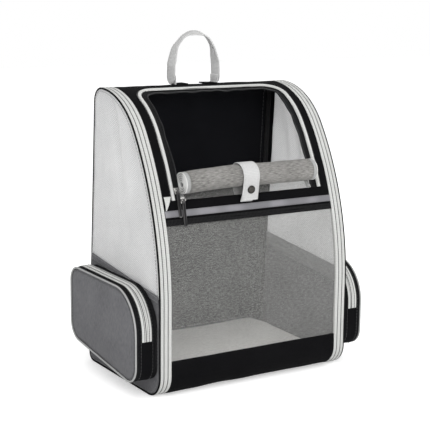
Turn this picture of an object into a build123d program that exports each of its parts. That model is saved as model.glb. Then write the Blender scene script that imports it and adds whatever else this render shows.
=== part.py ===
from build123d import *
from math import acos, asin, atan2, cos, degrees, hypot, pi, radians, sin, sqrt
import os

# A soft-sided backpack for carrying a small pet.
# Millimetres. +Z is up, the front faces -Y, the wearer's back is at +Y.
# The origin is the middle of the base, on the floor.

# Overall body
body_width = 320.0
body_height = 420.0
front_y = -110.0
back_foot_y = 113.0

# Side profile: an upright front, two arcs that lean back to the top, and a raked back
upright_front = 130.0
front_arc_radius = 420.0
front_arc_turn = 34.0
back_corner_radius = 22.0
front_foot_radius = 33.0
back_foot_radius = 12.0

# Fabric and board thicknesses
wrap_wall = 4.4
side_wall = 2.2
piping_width = 1.8
mesh_wall = 1.2
mesh_recess = 1.6
board_thickness = 3.0
webbing_thickness = 1.6
fit_gap = 0.3
cut_over = 1.0

# Front face, as heights above the floor
kick_height = 53.0
kick_recess = 0.6
band_bottom = 242.0
band_top = 275.0
tape_bottom = 253.0
tape_height = 9.0
tape_thickness = 0.8

# Side zip bands
zip_band_width = 17.0
zip_groove_width = 1.6
zip_groove_depth = 1.2
zip_groove_places = (5.0, 11.5)

# Top opening
opening_half_width = 121.0
opening_top = 416.0
opening_corner = 28.0
opening_piping = 4.0
opening_tape = 8.0

# Rolled flap, with its fabric as a spiral
roll_lift = 8.0
roll_height = 298.0
roll_half_width = 104.0
flap_tape_width = 7.0
flap_fabric = 2.4
spiral_step = 1.5
spiral_half_turns = 9
roll_centreline = 16.3

# Flap strap with its snap
strap_width = 27.0
strap_x = -6.0
strap_bottom = 268.0
strap_root_low = 262.0
strap_leave_angle = 188.0
snap_height = 283.5
snap_cap_radius = 6.0
snap_cap_height = 3.0
snap_dome_radius = 2.4
snap_ring_inner = 3.4
snap_ring_outer = 5.4
snap_ring_height = 1.2
snap_ring_floor = 0.4
snap_stud_base = 2.6
snap_stud_tip = 1.4
snap_stud_height = 1.6
tab_thickness = 1.2
tab_width = 21.0
tab_foot = 262.0
tab_top = 289.0

# Sliders and pulls of the flap zip
slider_length = 9.0
slider_width = 6.8
slider_height = 3.4
slider_chamfer = 0.6
knuckle_wall = 0.8
slider_travel_height = 287.0
running_slider_x = -117.2
parked_slider_height = 274.0
parked_slider_x = -111.4
ear_inner = 2.3
ear_outer = 3.3
pin_radius = 0.7
pin_clearance = 0.08
pull_eye_radius = 1.8
pull_length = 38.0
pull_width = 4.2
pull_thickness = 2.2
pull_rim = 1.0
pull_end_radius = 2.0
pull_overlap = 1.05
running_pull_tilt = 6.2
parked_pull_tilt = 8.4

# Carry handle
handle_width = 25.0
handle_thickness = 2.6
handle_span = 78.0
handle_height = 77.0
handle_shoulder = 448.0
handle_top_half = 33.0
handle_bend = 28.0
handle_tab_height = 14.0
handle_tab_thickness = 2.0
handle_foot_length = 22.0
handle_x = -4.0
handle_y = 66.0

# Floor of the cabin
board_margin = 4.0
pad_side_gap = 18.8
pad_front_gap = 11.6
pad_back_gap = 5.0
pad_height = 27.0
pad_draw_in = 4.0
pad_corner = 24.0
pad_corner_share = 1 / 3
pad_rings = ((0.0, 9.0), (0.16, 2.0), (0.42, 0.0), (0.74, 3.0), (0.92, 12.0), (1.0, 34.0))

# Side panels
shade_front = 143.0
shade_back = 167.0

# Side pockets
pocket_depth = 34.0
pocket_front = -105.0
pocket_back = 103.0
pocket_floor_front = 22.0
pocket_floor_back = 46.0
pocket_top = 155.0
pocket_wall = 2.4
pocket_piping = 2.8
pocket_top_front_radius = 60.0
pocket_top_back_radius = 24.0
pocket_bottom_front_radius = 26.0
pocket_bottom_back_radius = 28.0
pocket_zip_width = 15.0
pocket_zip_thickness = 1.2
pocket_zip_front_end = 84.0
pocket_zip_back_end = 66.0
pocket_slider_height = 80.0
pocket_pull_length = 26.0
pocket_pull_tilt = 8.4

# Back: stiffener, padding and shoulder straps
back_board_width = 270.0
back_board_thickness = 2.0
back_board_low = 18.0
back_board_high = 372.0
padding_width = 236.0
padding_low = 112.0
padding_top_gap = 22.0
padding_channels = 5
padding_base = 6.0
padding_crown = 7.0
padding_corner = 30.0
padding_draw_in = 5.0
strap_centre_x = 76.0
shoulder_strap_width = 58.0
shoulder_strap_thickness = 9.0
shoulder_edge_radius = 3.5
shoulder_eye_tuck = 2.0
shoulder_top_height = 374.0
shoulder_bend_y = 121.0
shoulder_bend_height = 378.0
shoulder_bend_radius = 20.0
shoulder_bow_y = 146.0
shoulder_bow_height = 262.0
shoulder_bow_radius = 300.0
shoulder_end_y = 131.0
shoulder_end_height = 138.0
lower_webbing_foot = 36.0
webbing_width = 25.0
webbing_tail = 58.0
lock_drop = 26.0
lock_width = 33.0
lock_length = 29.0
lock_thickness = 3.6
lock_bar = 4.4
lock_side = 3.4

# Chest strap and its side-release buckle
chest_height = 315.0
chest_webbing_width = 20.0
buckle_width = 27.0
buckle_thickness = 9.0
buckle_wall = 1.6
buckle_bar = 3.4
buckle_bar_thickness = 4.0
buckle_slot = 3.2
buckle_corner = 4.0
socket_mouth = -3.0
socket_length = 30.0
cavity_length = 20.0
cavity_thickness = 6.4
window_margin = 0.8
plug_length = 15.0
tongue_length = 16.3
tongue_width = 3.6
prong_thickness = 2.6
prong_length = 17.2
prong_offset = 6.6
prong_swing = 8.0
finger_pad_length = 8.4
finger_pad_reach = 14.6
finger_pad_radius = 2.5

# Spring stays behind the zip bands
stay_thickness = 0.8
stay_width = 8.0
stay_place = 12.0

# Worked out from the sizes above
half_width = body_width / 2
arc_centre_y = front_y + front_arc_radius
turn = radians(front_arc_turn)
arc_end_height = upright_front + front_arc_radius * sin(turn)
top_arc_radius = (body_height - arc_end_height) / (1 - sin(turn))
apex_y = arc_centre_y - front_arc_radius * cos(turn) + top_arc_radius * cos(turn)
corner_centre_z = body_height - back_corner_radius
back_reach = hypot(back_foot_y - apex_y, corner_centre_z)
back_lean = acos(back_corner_radius / back_reach) - atan2(corner_centre_z, back_foot_y - apex_y)
wrap_half = half_width - side_wall
face_half = wrap_half - zip_band_width
floor_front = front_y + front_foot_radius
floor_back = back_foot_y - 1.5 * back_foot_radius
far = 2 * body_height
roll_radius = roll_centreline + flap_fabric / 2
padding_high = shoulder_top_height - padding_top_gap
handle_pivot = body_height + 2 * fit_gap + handle_width / 2
plug_face = socket_mouth - fit_gap
prong_tip = socket_mouth + prong_length
running_seat = fit_gap - mesh_recess
parked_seat = fit_gap


def front_surface_y(height, inset=0.0):
    """The front face's Y at a height, on the upright part or the first arc."""
    if height <= upright_front:
        return front_y + inset
    radius = front_arc_radius - inset
    return arc_centre_y - sqrt(radius**2 - (height - upright_front) ** 2)


def back_surface_y(height):
    """The back face's Y at a height."""
    return back_foot_y - (height * sin(back_lean)) / cos(back_lean)


def side_outline(inset=0.0):
    """The carrier's outline from the side, as a face in the Y-Z plane."""
    rise = Line((front_y + inset, inset), (front_y + inset, upright_front))
    belly = JernArc(rise @ 1, (0, 1), front_arc_radius - inset, -front_arc_turn)
    brow = JernArc(belly @ 1, belly % 1, top_arc_radius - inset, front_arc_turn - 90)
    corner = JernArc(brow @ 1, brow % 1, back_corner_radius - inset, degrees(back_lean) - 90)
    drop = (corner @ 1).Y - inset
    foot_y = (corner @ 1).X + drop * sin(back_lean) / cos(back_lean)
    back = Line(corner @ 1, (foot_y, inset))
    base = Line((foot_y, inset), (front_y + inset, inset))
    face = make_face(Curve() + [rise, belly, brow, corner, back, base])
    face = fillet(face.vertices().group_by(Axis.Y)[0].sort_by(Axis.X)[0], front_foot_radius - inset)
    return fillet(face.vertices().group_by(Axis.Y)[0].sort_by(Axis.X)[-1], back_foot_radius - inset)


def across(face, x_low, x_high):
    """A face drawn in the Y-Z plane, made solid between two X positions."""
    return extrude(Plane.YZ.offset(x_low) * face, x_high - x_low)


def block(x, y, z):
    """A box from three (low, high) pairs."""
    size = (x[1] - x[0], y[1] - y[0], z[1] - z[0])
    centre = ((x[0] + x[1]) / 2, (y[0] + y[1]) / 2, (z[0] + z[1]) / 2)
    return Pos(*centre) * Box(*size)


def skin(outer, inner, x_low, x_high):
    """A wall that follows the side outline, between two insets."""
    return across(side_outline(outer) - side_outline(inner), x_low, x_high)


def front_zone(low, high):
    """The space in front of the cabin between two heights."""
    return block((-far, far), (-far, apex_y), (low, high))


def opening_prism(grow=0.0):
    """The space of the top opening, cut square to the slanted upper front."""
    slant = Plane(origin=(0, 0, 0), x_dir=(1, 0, 0), z_dir=(0, -1, 1))
    low_v = slant.to_local_coords(Vector(0, front_surface_y(band_top), band_top)).Y
    top_y = apex_y - sqrt(top_arc_radius**2 - (top_arc_radius - body_height + opening_top) ** 2)
    high_v = slant.to_local_coords(Vector(0, top_y, opening_top)).Y
    low_v -= opening_corner + front_foot_radius
    face = Pos(0, (low_v + high_v) / 2) * RectangleRounded(
        2 * (opening_half_width + grow), high_v - low_v + 2 * grow, opening_corner + grow
    )
    return extrude(slant * face, far) & front_zone(band_top, far)


def base_panel():
    """The flat floor of the shell, which the carrier stands on."""
    return block((-wrap_half, wrap_half), (floor_front, floor_back), (0, wrap_wall))


def kick_panel():
    """The black strip under the window, which rolls under the front edge."""
    wall = skin(kick_recess, wrap_wall, -face_half, face_half)
    return wall & block((-far, far), (-far, floor_front), (0, kick_height))


def zip_band(side):
    """A concealed zip band: ribbed, with two grooves, over the front and the top."""
    low = face_half if side > 0 else -wrap_half
    band = skin(0, wrap_wall, low, low + zip_band_width)
    for place in zip_groove_places:
        middle = side * (wrap_half - place)
        band -= skin(-cut_over, zip_groove_depth, middle - zip_groove_width / 2, middle + zip_groove_width / 2)
    front = block((-far, far), (-far, floor_front), (0, far))
    above = block((-far, far), (-far, apex_y), (2 * front_foot_radius, far))
    return band & (front + above)


def lower_window_mesh():
    """The fine mesh of the lower window, between kick panel and cross band."""
    return skin(mesh_recess, mesh_recess + mesh_wall, -face_half, face_half) & front_zone(kick_height, band_bottom)


def cross_band():
    """The black band across the front, which carries the reflective tape."""
    inlay = front_zone(tape_bottom, tape_bottom + tape_height) & skin(-cut_over, tape_thickness, -far, far)
    return (skin(0, wrap_wall, -face_half, face_half) & front_zone(band_bottom, band_top)) - inlay


def reflective_tape():
    """The reflective tape on the cross band."""
    tape = skin(0, tape_thickness, -face_half, face_half)
    return tape & front_zone(tape_bottom, tape_bottom + tape_height)


def upper_frame():
    """The black fabric around the top opening, up and over to the back."""
    wall = skin(0, wrap_wall, -face_half, face_half) & front_zone(band_top, far)
    inlay = opening_prism(opening_piping) & skin(-cut_over, tape_thickness, -far, far)
    return wall - opening_prism() - inlay


def opening_binding():
    """The pale piping around the top opening."""
    rim = opening_prism(opening_piping) - opening_prism()
    return skin(0, tape_thickness, -face_half, face_half) & rim


def opening_zip():
    """The black zip tape along the sides and the top of the opening."""
    rim = opening_prism() - opening_prism(-opening_tape)
    return skin(mesh_recess, mesh_recess + mesh_wall, -face_half, face_half) & rim


def back_panel():
    """The back wall, with the rounded top edge."""
    wall = skin(0, wrap_wall, -wrap_half, wrap_half)
    upper = block((-far, far), (apex_y, far), (2 * back_foot_radius, far))
    foot = block((-far, far), (floor_back, far), (0, 2 * back_foot_radius))
    return wall & (upper + foot)


def shade_line():
    """The space above the slanted line where the side panel turns pale."""
    slope = (shade_back - shade_front) / (back_foot_y - front_y)
    front = (front_y - far, shade_front - far * slope)
    back = (back_foot_y + far, shade_back + far * slope)
    return across(make_face(Polyline(front, back, (back[0], far), (front[0], far), close=True)), -far, far)


def side_panel(side, upper):
    """The upper mesh or the lower fabric of a side."""
    low = wrap_half if side > 0 else -half_width
    panel = across(side_outline(piping_width), low, low + side_wall)
    return panel & shade_line() if upper else panel - shade_line()


def edge_piping():
    """The black piping along the edge of both side panels."""
    return [skin(0, piping_width, low, low + side_wall) for low in (wrap_half, -half_width)]


def back_board():
    """The stiff sheet against the inside of the back panel."""
    inner = wrap_wall + back_board_thickness
    board = skin(wrap_wall, inner, -back_board_width / 2, back_board_width / 2)
    return board & block((-far, far), (apex_y, far), (back_board_low, back_board_high))


def base_board():
    """The stiff board on the floor, under the pad."""
    low_y = floor_front + board_margin
    high_y = back_surface_y(0) - wrap_wall - back_foot_radius - board_margin
    half = wrap_half - board_margin
    return block((-half, half), (low_y, high_y), (wrap_wall, wrap_wall + board_thickness))


def drawn_in_outline(width, depth, corner, draw):
    """A rectangle with round corners and sides that draw in between them."""
    half_w = width / 2
    half_d = depth / 2
    arcs = [
        ThreePointArc((corner - half_w, -half_d), (0, draw - half_d), (half_w - corner, -half_d)),
        ThreePointArc((half_w, corner - half_d), (half_w - draw, 0), (half_w, half_d - corner)),
        ThreePointArc((half_w - corner, half_d), (0, half_d - draw), (corner - half_w, half_d)),
        ThreePointArc((-half_w, half_d - corner), (draw - half_w, 0), (-half_w, corner - half_d)),
    ]
    bends = []
    diagonal = corner * (1 - cos(pi / 4))
    for right, up, start, end in ((1, -1, 0, 1), (1, 1, 1, 2), (-1, 1, 2, 3), (-1, -1, 3, 0)):
        middle = (right * (half_w - diagonal), up * (half_d - diagonal))
        bends.append(ThreePointArc(arcs[start] @ 1, middle, arcs[end] @ 0))
    edges = [edge for pair in zip(arcs, bends) for edge in pair]
    return make_face(Curve() + edges)


def floor_pad():
    """The loose cushion: crowned, with sides that draw in between the corners."""
    seat = wrap_wall + board_thickness
    front = front_y + wrap_wall + pad_front_gap
    back = back_surface_y(seat + pad_height) - wrap_wall - back_board_thickness - pad_back_gap
    rings = []
    for share, inset in pad_rings:
        width = 2 * (wrap_half - pad_side_gap - inset)
        corner = pad_corner - pad_corner_share * inset
        outline = drawn_in_outline(width, back - front - 2 * inset, corner, pad_draw_in)
        rings.append(Pos(0, (front + back) / 2, seat + share * pad_height) * outline)
    return loft(rings, ruled=True)


def roll_centre():
    """The middle of the rolled flap, lifted off the front face."""
    lean = asin((roll_height - upright_front) / front_arc_radius)
    return (front_surface_y(roll_height) - roll_lift * cos(lean), roll_height + roll_lift * sin(lean))


def tangent_point(start, centre, radius):
    """Where a line from a point below touches the cabin side of a circle."""
    reach = hypot(start[0] - centre[0], start[1] - centre[1])
    heading = atan2(start[1] - centre[1], start[0] - centre[0]) + acos(radius / reach)
    return (centre[0] + radius * cos(heading), centre[1] + radius * sin(heading)), heading


def flap_section():
    """The flap from the band's top edge up into its roll, as one spiral."""
    centre = roll_centre()
    foot_y = front_surface_y(band_top, wrap_wall / 2)
    sides = []
    for offset in (flap_fabric / 2, -flap_fabric / 2):
        foot = (foot_y + offset, band_top)
        touch, heading = tangent_point(foot, centre, roll_centreline + offset)
        lines = [Line(foot, touch)]
        for half in range(spiral_half_turns):
            radius = roll_centreline - half * spiral_step + offset
            lines.append(JernArc(lines[-1] @ 1, lines[-1] % 1, radius, 180))
        sides.append(lines)
    ends = [Line(sides[0][0] @ 0, sides[1][0] @ 0), Line(sides[0][-1] @ 1, sides[1][-1] @ 1)]
    return make_face(Curve() + sides[0] + sides[1] + ends)


def flap_strap_lines():
    """The strap's centreline: behind the roll, then over it and down the front."""
    centre = roll_centre()
    radius = roll_radius + fit_gap + webbing_thickness / 2
    foot = (front_surface_y(strap_root_low, wrap_wall) + webbing_thickness / 2 + fit_gap, strap_root_low)
    touch, heading = tangent_point(foot, centre, radius)
    top = (centre[0], centre[1] + radius)
    middle_angle = (heading + pi / 2) / 2
    middle = (centre[0] + radius * cos(middle_angle), centre[1] + radius * sin(middle_angle))
    rear = Line(foot, touch) + ThreePointArc(touch, middle, top)
    leave = radians(strap_leave_angle)
    shoulder = radians(90 + strap_leave_angle) / 2
    front_middle = (centre[0] + radius * cos(shoulder), centre[1] + radius * sin(shoulder))
    front_end = (centre[0] + radius * cos(leave), centre[1] + radius * sin(leave))
    run = (front_end[1] - strap_bottom) / cos(leave - pi)
    tip = (front_end[0] - run * sin(leave), front_end[1] + run * cos(leave))
    return rear, top, front_middle, front_end, tip


def webbing(path, width, thickness, x):
    """A flat strip of webbing along a path in the Y-Z plane, centred on X."""
    route = Plane.YZ.offset(x) * path
    section = Plane(origin=route @ 0, x_dir=(1, 0, 0), z_dir=route % 0) * Rectangle(width, thickness)
    return sweep(section, path=Wire(route.edges()))


def snap_frame():
    """The snap's plane: on the strap's inner face, looking out of the front."""
    rear, top, middle, front_end, tip = flap_strap_lines()
    share = (front_end[1] - snap_height) / (front_end[1] - tip[1])
    leave = radians(strap_leave_angle)
    y = front_end[0] + share * (tip[0] - front_end[0]) - cos(leave) * webbing_thickness / 2
    z = snap_height - sin(leave) * webbing_thickness / 2
    return Plane(origin=(strap_x, y, z), x_dir=(1, 0, 0), z_dir=(0, cos(leave), sin(leave)))


def flap_strap():
    """The free end of the strap, from the top of the roll down over the band."""
    rear, top, middle, front_end, tip = flap_strap_lines()
    path = ThreePointArc(top, middle, front_end) + Line(front_end, tip)
    strap = webbing(path, strap_width, webbing_thickness, strap_x)
    strap -= block((-far, far), (top[0] - fit_gap, far), (0, far))
    return strap - snap_frame() * Cylinder(snap_stud_base / 2, 4 * webbing_thickness)


def snap_cap():
    """The domed cap of the snap, its post, and the socket ring behind the strap."""
    dome = Pos(0, 0, webbing_thickness) * Cylinder(
        snap_cap_radius, snap_cap_height, align=(Align.CENTER, Align.CENTER, Align.MIN)
    )
    dome = fillet(dome.edges().group_by(Axis.Z)[-1], snap_dome_radius)
    post = Cylinder(snap_stud_base / 2, webbing_thickness, align=(Align.CENTER, Align.CENTER, Align.MIN))
    ring = Cylinder(snap_ring_outer, snap_ring_height, align=(Align.CENTER, Align.CENTER, Align.MAX))
    ring -= Pos(0, 0, -snap_ring_floor) * Cylinder(
        snap_ring_inner, snap_ring_height, align=(Align.CENTER, Align.CENTER, Align.MAX)
    )
    return snap_frame() * (dome + post + ring)


def tab_line():
    """The short tab that rises from the band to the snap."""
    centre = roll_centre()
    reach = roll_radius + 2 * fit_gap + tab_thickness / 2
    top_y = centre[0] - sqrt(reach**2 - (centre[1] - tab_top) ** 2)
    return Line((front_surface_y(tab_foot) + wrap_wall / 2, tab_foot), (top_y, tab_top))


def snap_tab():
    """The tab's webbing, sewn flush on the cross band."""
    strip = webbing(tab_line(), tab_width, tab_thickness, strap_x)
    return strip - across(side_outline(), -far, far)


def snap_stud():
    """The stud on the tab, which the socket ring closes over."""
    line = tab_line()
    place = line @ ((snap_height - tab_foot) / (tab_top - tab_foot))
    along = line % 0
    frame = Plane(origin=(strap_x, place.X, place.Y), x_dir=(1, 0, 0), z_dir=(0, -along.Y, along.X))
    stud = Cone(snap_stud_base, snap_stud_tip, snap_stud_height, align=(Align.CENTER, Align.CENTER, Align.MIN))
    return frame * Pos(0, 0, tab_thickness / 2) * stud


def flap_parts():
    """The roll, its zip tapes and the strap's root."""
    section = flap_section()
    rear = flap_strap_lines()[0]
    outer = roll_half_width + flap_tape_width
    return {
        "flap_roll": across(section, -roll_half_width, roll_half_width),
        "flap_zip_tape": [
            across(section, -outer, -roll_half_width),
            across(section, roll_half_width, outer),
        ],
        "flap_strap_root": webbing(rear, strap_width, webbing_thickness, strap_x),
    }


def slider_frame(x, height):
    """A slider's plane on the front arc: Y up along the zip, Z out of the face."""
    lean = asin((height - upright_front) / front_arc_radius)
    return Plane(
        origin=(x, front_surface_y(height), height), x_dir=(1, 0, 0), z_dir=(0, -cos(lean), sin(lean))
    )


def zip_slider(seat):
    """A slider: a body that narrows downwards, two ears and the pin of its pull."""
    shoulder = slider_width / 2
    waist = slider_width / 3
    body = extrude(
        make_face(
            Polyline(
                (-shoulder, slider_length / 2),
                (shoulder, slider_length / 2),
                (shoulder, 0),
                (waist, -slider_length / 2),
                (-waist, -slider_length / 2),
                (-shoulder, 0),
                close=True,
            )
        ),
        slider_height,
    )
    body = chamfer(body.edges().group_by(Axis.Z)[-1], slider_chamfer)
    pin_height = slider_height + pull_eye_radius + fit_gap
    ear_centre = (ear_inner + ear_outer) / 2
    for side in (-1, 1):
        ear = Pos(side * ear_centre, 0, slider_height - knuckle_wall) * Box(
            ear_outer - ear_inner,
            2 * (pin_radius + knuckle_wall),
            pull_eye_radius + fit_gap + knuckle_wall,
            align=(Align.CENTER, Align.CENTER, Align.MIN),
        )
        knuckle = Pos(side * ear_centre, 0, pin_height) * Rot(0, 90, 0) * Cylinder(
            pin_radius + knuckle_wall, ear_outer - ear_inner
        )
        body += ear + knuckle
    body += Pos(0, 0, pin_height) * Rot(0, 90, 0) * Cylinder(pin_radius, 2 * ear_outer)
    return Pos(0, 0, seat) * body


def zip_pull(seat, length, tilt):
    """A pull: an eye round the slider's pin and a long loop with a raised rim."""
    pin_height = slider_height + pull_eye_radius + fit_gap
    eye = Rot(0, 90, 0) * Cylinder(pull_eye_radius, 2 * (ear_inner - fit_gap))
    blade_length = length + pull_overlap
    blade = extrude(RectangleRounded(pull_width, blade_length, pull_end_radius), pull_thickness / 2, both=True)
    blade = Pos(0, pull_overlap - blade_length / 2, 0) * blade
    trough = extrude(
        RectangleRounded(pull_width - 2 * pull_rim, length - 4 * pull_eye_radius, pull_rim), pull_rim
    )
    blade -= Pos(0, -length / 2 - pull_eye_radius, pull_thickness / 2 - pull_rim / 2) * trough
    pull = eye + blade - Rot(0, 90, 0) * Cylinder(pin_radius + pin_clearance, 2 * slider_width)
    return Pos(0, 0, seat + pin_height) * Rot(tilt, 0, 0) * pull


def carry_handle():
    """The webbing loop on top, its ends rounded about the line that it folds on."""
    half = handle_span / 2
    low = handle_pivot - handle_width / 2
    top = body_height + handle_height
    points = [
        (-half, low),
        (-half, handle_shoulder),
        (-handle_top_half, top),
        (handle_top_half, top),
        (half, handle_shoulder),
        (half, low),
    ]
    path = Plane.XZ.offset(-handle_y) * FilletPolyline(*points, radius=[handle_bend] * (len(points) - 2))
    section = Plane(origin=path @ 0, x_dir=(0, 1, 0), z_dir=path % 0) * Rectangle(handle_width, handle_thickness)
    loop = sweep(section, path=path)
    ends = Pos(0, handle_y, handle_pivot) * Rot(0, 90, 0) * Cylinder(handle_width / 2, far)
    return Pos(handle_x, 0, 0) * (loop & (ends + block((-far, far), (0, far), (handle_pivot, far))))


def handle_tabs():
    """The two angled tabs that are sewn on the top and hold the handle's ends."""
    tabs = []
    reach = handle_span / 2 - handle_thickness / 2 - fit_gap
    across_y = (handle_y - handle_width / 2, handle_y + handle_width / 2)
    for side in (-1, 1):
        upright = sorted((side * reach, side * (reach - handle_tab_thickness)))
        foot = sorted((side * reach, side * (reach - handle_foot_length)))
        low = body_height - wrap_wall
        tab = block(upright, across_y, (low, body_height + handle_tab_height))
        tab += block(foot, across_y, (low, body_height + handle_tab_thickness))
        tabs.append(Pos(handle_x, 0, 0) * (tab - across(side_outline(), -far, far)))
    return tabs


def pocket_outline(inset=0.0):
    """A side pocket's outline from the side: a sloping floor and one large corner."""
    corners = Polyline(
        (pocket_front, pocket_floor_front),
        (pocket_front, pocket_top),
        (pocket_back, pocket_top),
        (pocket_back, pocket_floor_back),
        close=True,
    )
    radii = (
        (0, 0, pocket_bottom_front_radius),
        (0, -1, pocket_top_front_radius),
        (-1, -1, pocket_top_back_radius),
        (-1, 0, pocket_bottom_back_radius),
    )
    face = make_face(corners)
    for across_index, up_index, radius in radii:
        corner = face.vertices().sort_by(Axis.X)[:2] if across_index == 0 else face.vertices().sort_by(Axis.X)[-2:]
        face = fillet(corner.sort_by(Axis.Y)[up_index], radius)
    return offset(face, -inset) if inset else face


def pocket_parts(name, side):
    """A side pocket: gusset, outer face, piping and the zip band around the gusset."""
    def span(low, high):
        return sorted((side * (half_width + low), side * (half_width + high)))

    outline = pocket_outline()
    inner = pocket_outline(pocket_wall)
    face = pocket_outline(pocket_piping)
    rim = pocket_depth - pocket_wall
    middle = pocket_depth / 2
    band = across(offset(outline, pocket_zip_thickness) - outline, *span(
        middle - pocket_zip_width / 2, middle + pocket_zip_width / 2
    ))
    band_zone = block((-far, far), (-far, 0), (pocket_zip_front_end, far))
    band_zone += block((-far, far), (0, far), (pocket_zip_back_end, far))
    return {
        "pocket_gusset_" + name: across(outline - inner, *span(0, rim)),
        "pocket_face_" + name: across(face, *span(rim, pocket_depth)),
        "pocket_piping_" + name: across(outline - face, *span(rim, pocket_depth + pocket_zip_thickness / 2)),
        "pocket_zip_band_" + name: band & band_zone,
    }


def pocket_slider_frame(side):
    """The pocket slider's plane, on the back run of the zip band."""
    return Plane(
        origin=(side * (half_width + pocket_depth / 2), pocket_back + pocket_zip_thickness, pocket_slider_height),
        x_dir=(-1, 0, 0),
        z_dir=(0, 1, 0),
    )


def back_padding():
    """The padded back: rolls of padding with sewn channels between them."""
    side_plane = Plane(origin=(0, back_foot_y, 0), x_dir=(0, cos(back_lean), sin(back_lean)), z_dir=(1, 0, 0))
    step = (padding_high - padding_low) / padding_channels
    edges = [Line((padding_base, padding_low), (0, padding_low)), Line((0, padding_low), (0, padding_high))]
    edges.append(Line((0, padding_high), (padding_base, padding_high)))
    for index in range(padding_channels):
        low = padding_low + index * step
        crown = (padding_base + padding_crown, low + step / 2)
        edges.append(ThreePointArc((padding_base, low), crown, (padding_base, low + step)))
    rolls = extrude(side_plane * make_face(Curve() + edges), padding_width / 2, both=True)
    outline = drawn_in_outline(padding_width, padding_high - padding_low, padding_corner, padding_draw_in)
    middle = (padding_low + padding_high) / 2
    return rolls & extrude(back_frame() * Pos(0, middle, 0) * outline, 2 * (padding_base + padding_crown))


def back_frame():
    """The back's plane: Y up along the back, Z out of it."""
    return Plane(origin=(0, back_foot_y, 0), x_dir=(-1, 0, 0), z_dir=(0, cos(back_lean), sin(back_lean)))


def lock_frame(side):
    """The ladder lock's plane: Y up along the lower webbing, Z away from the carrier."""
    foot_y = back_surface_y(lower_webbing_foot)
    reach = hypot(shoulder_end_y - foot_y, shoulder_end_height - lower_webbing_foot)
    up_y = (shoulder_end_y - foot_y) / reach
    up_z = (shoulder_end_height - lower_webbing_foot) / reach
    origin = (side * strap_centre_x, shoulder_end_y - lock_drop * up_y, shoulder_end_height - lock_drop * up_z)
    return Plane(origin=origin, x_dir=(-1, 0, 0), z_dir=(0, up_z, -up_y)), reach - lock_drop


def webbing_eye(along, deep):
    """The section of webbing folded round a bar."""
    wall = fit_gap + webbing_thickness
    outer = RectangleRounded(along + 2 * wall, deep + 2 * wall, webbing_thickness)
    return outer - Rectangle(along + 2 * fit_gap, deep + 2 * fit_gap)


def shoulder_strap(side):
    """A padded shoulder strap, hanging in a bow, with the eye for its ladder lock."""
    x = side * strap_centre_x
    points = [
        (back_surface_y(shoulder_top_height) - shoulder_strap_thickness, shoulder_top_height),
        (shoulder_bend_y, shoulder_bend_height),
        (shoulder_bow_y, shoulder_bow_height),
        (shoulder_end_y, shoulder_end_height),
    ]
    path = FilletPolyline(*points, radius=[shoulder_bend_radius, shoulder_bow_radius])
    strap = webbing(path, shoulder_strap_width, shoulder_strap_thickness, x)
    strap = fillet(strap.edges().filter_by(GeomType.LINE).filter_by(Axis.X).sort_by(Axis.Z)[:2], shoulder_edge_radius)
    frame, reach = lock_frame(side)
    bar = lock_length / 2 - lock_bar / 2
    eye = Pos(0, bar, 0) * extrude(Plane.YZ * webbing_eye(lock_bar, lock_thickness), webbing_width / 2, both=True)
    low = bar + lock_bar / 2 + fit_gap
    half = webbing_width / 2
    leg = block((-half, half), (low, lock_drop + shoulder_eye_tuck), (-webbing_thickness / 2, webbing_thickness / 2))
    return (strap + frame * (eye + leg)) - across(side_outline(), -far, far)


def ladder_lock(side):
    """A ladder lock: a moulded frame with three bars."""
    plate = extrude(RectangleRounded(lock_width, lock_length, lock_side), lock_thickness / 2, both=True)
    slot = (lock_length - 3 * lock_bar) / 2
    for up in (-1, 1):
        hole = Rectangle(lock_width - 2 * lock_side, slot)
        plate -= Pos(0, up * (slot + lock_bar) / 2, 0) * extrude(hole, lock_thickness, both=True)
    return lock_frame(side)[0] * plate


def lower_webbing(side):
    """The lower webbing: sewn at the foot, round the middle bar, with a free tail."""
    frame, reach = lock_frame(side)
    half = webbing_width / 2
    near = lock_thickness / 2 + fit_gap
    strip = extrude(Plane.YZ * webbing_eye(lock_bar, lock_thickness), half, both=True)
    strip += block((-half, half), (-reach - wrap_wall, 0), (-near - webbing_thickness, -near))
    strip += block((-half, half), (-webbing_tail, 0), (near, near + webbing_thickness))
    return frame * strip - across(side_outline(), -far, far)


def chest_y():
    """The chest strap's Y, in the middle of the shoulder straps' thickness."""
    share = (shoulder_bend_height - chest_height) / (shoulder_bend_height - shoulder_bow_height)
    return shoulder_bend_y + share * (shoulder_bow_y - shoulder_bend_y)


def chest_webbing(side, bar_x):
    """Half of the chest strap: from the shoulder strap to its eye in the buckle."""
    half = chest_webbing_width / 2
    eye = Pos(bar_x, 0, 0) * extrude(webbing_eye(buckle_bar, buckle_bar_thickness), half, both=True)
    low = abs(bar_x) + buckle_bar / 2 + fit_gap
    high = strap_centre_x - shoulder_strap_width / 2
    run = block(sorted((side * low, side * high)), (-webbing_thickness / 2, webbing_thickness / 2), (-half, half))
    return Pos(0, chest_y(), chest_height) * (eye + run)


def buckle_end(body, bar_low, bar_high, slot_low, slot_high):
    """Cuts the webbing slot and thins the bar at one end of the buckle."""
    half = chest_webbing_width / 2 + fit_gap
    body -= block((slot_low, slot_high), (-far, far), (-half, half))
    low, high = min(bar_low, slot_low), max(bar_high, slot_high)
    for side in (-1, 1):
        span = sorted((side * buckle_bar_thickness / 2, side * buckle_thickness))
        body -= block((low, high), span, (-half, half))
    return body


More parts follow.
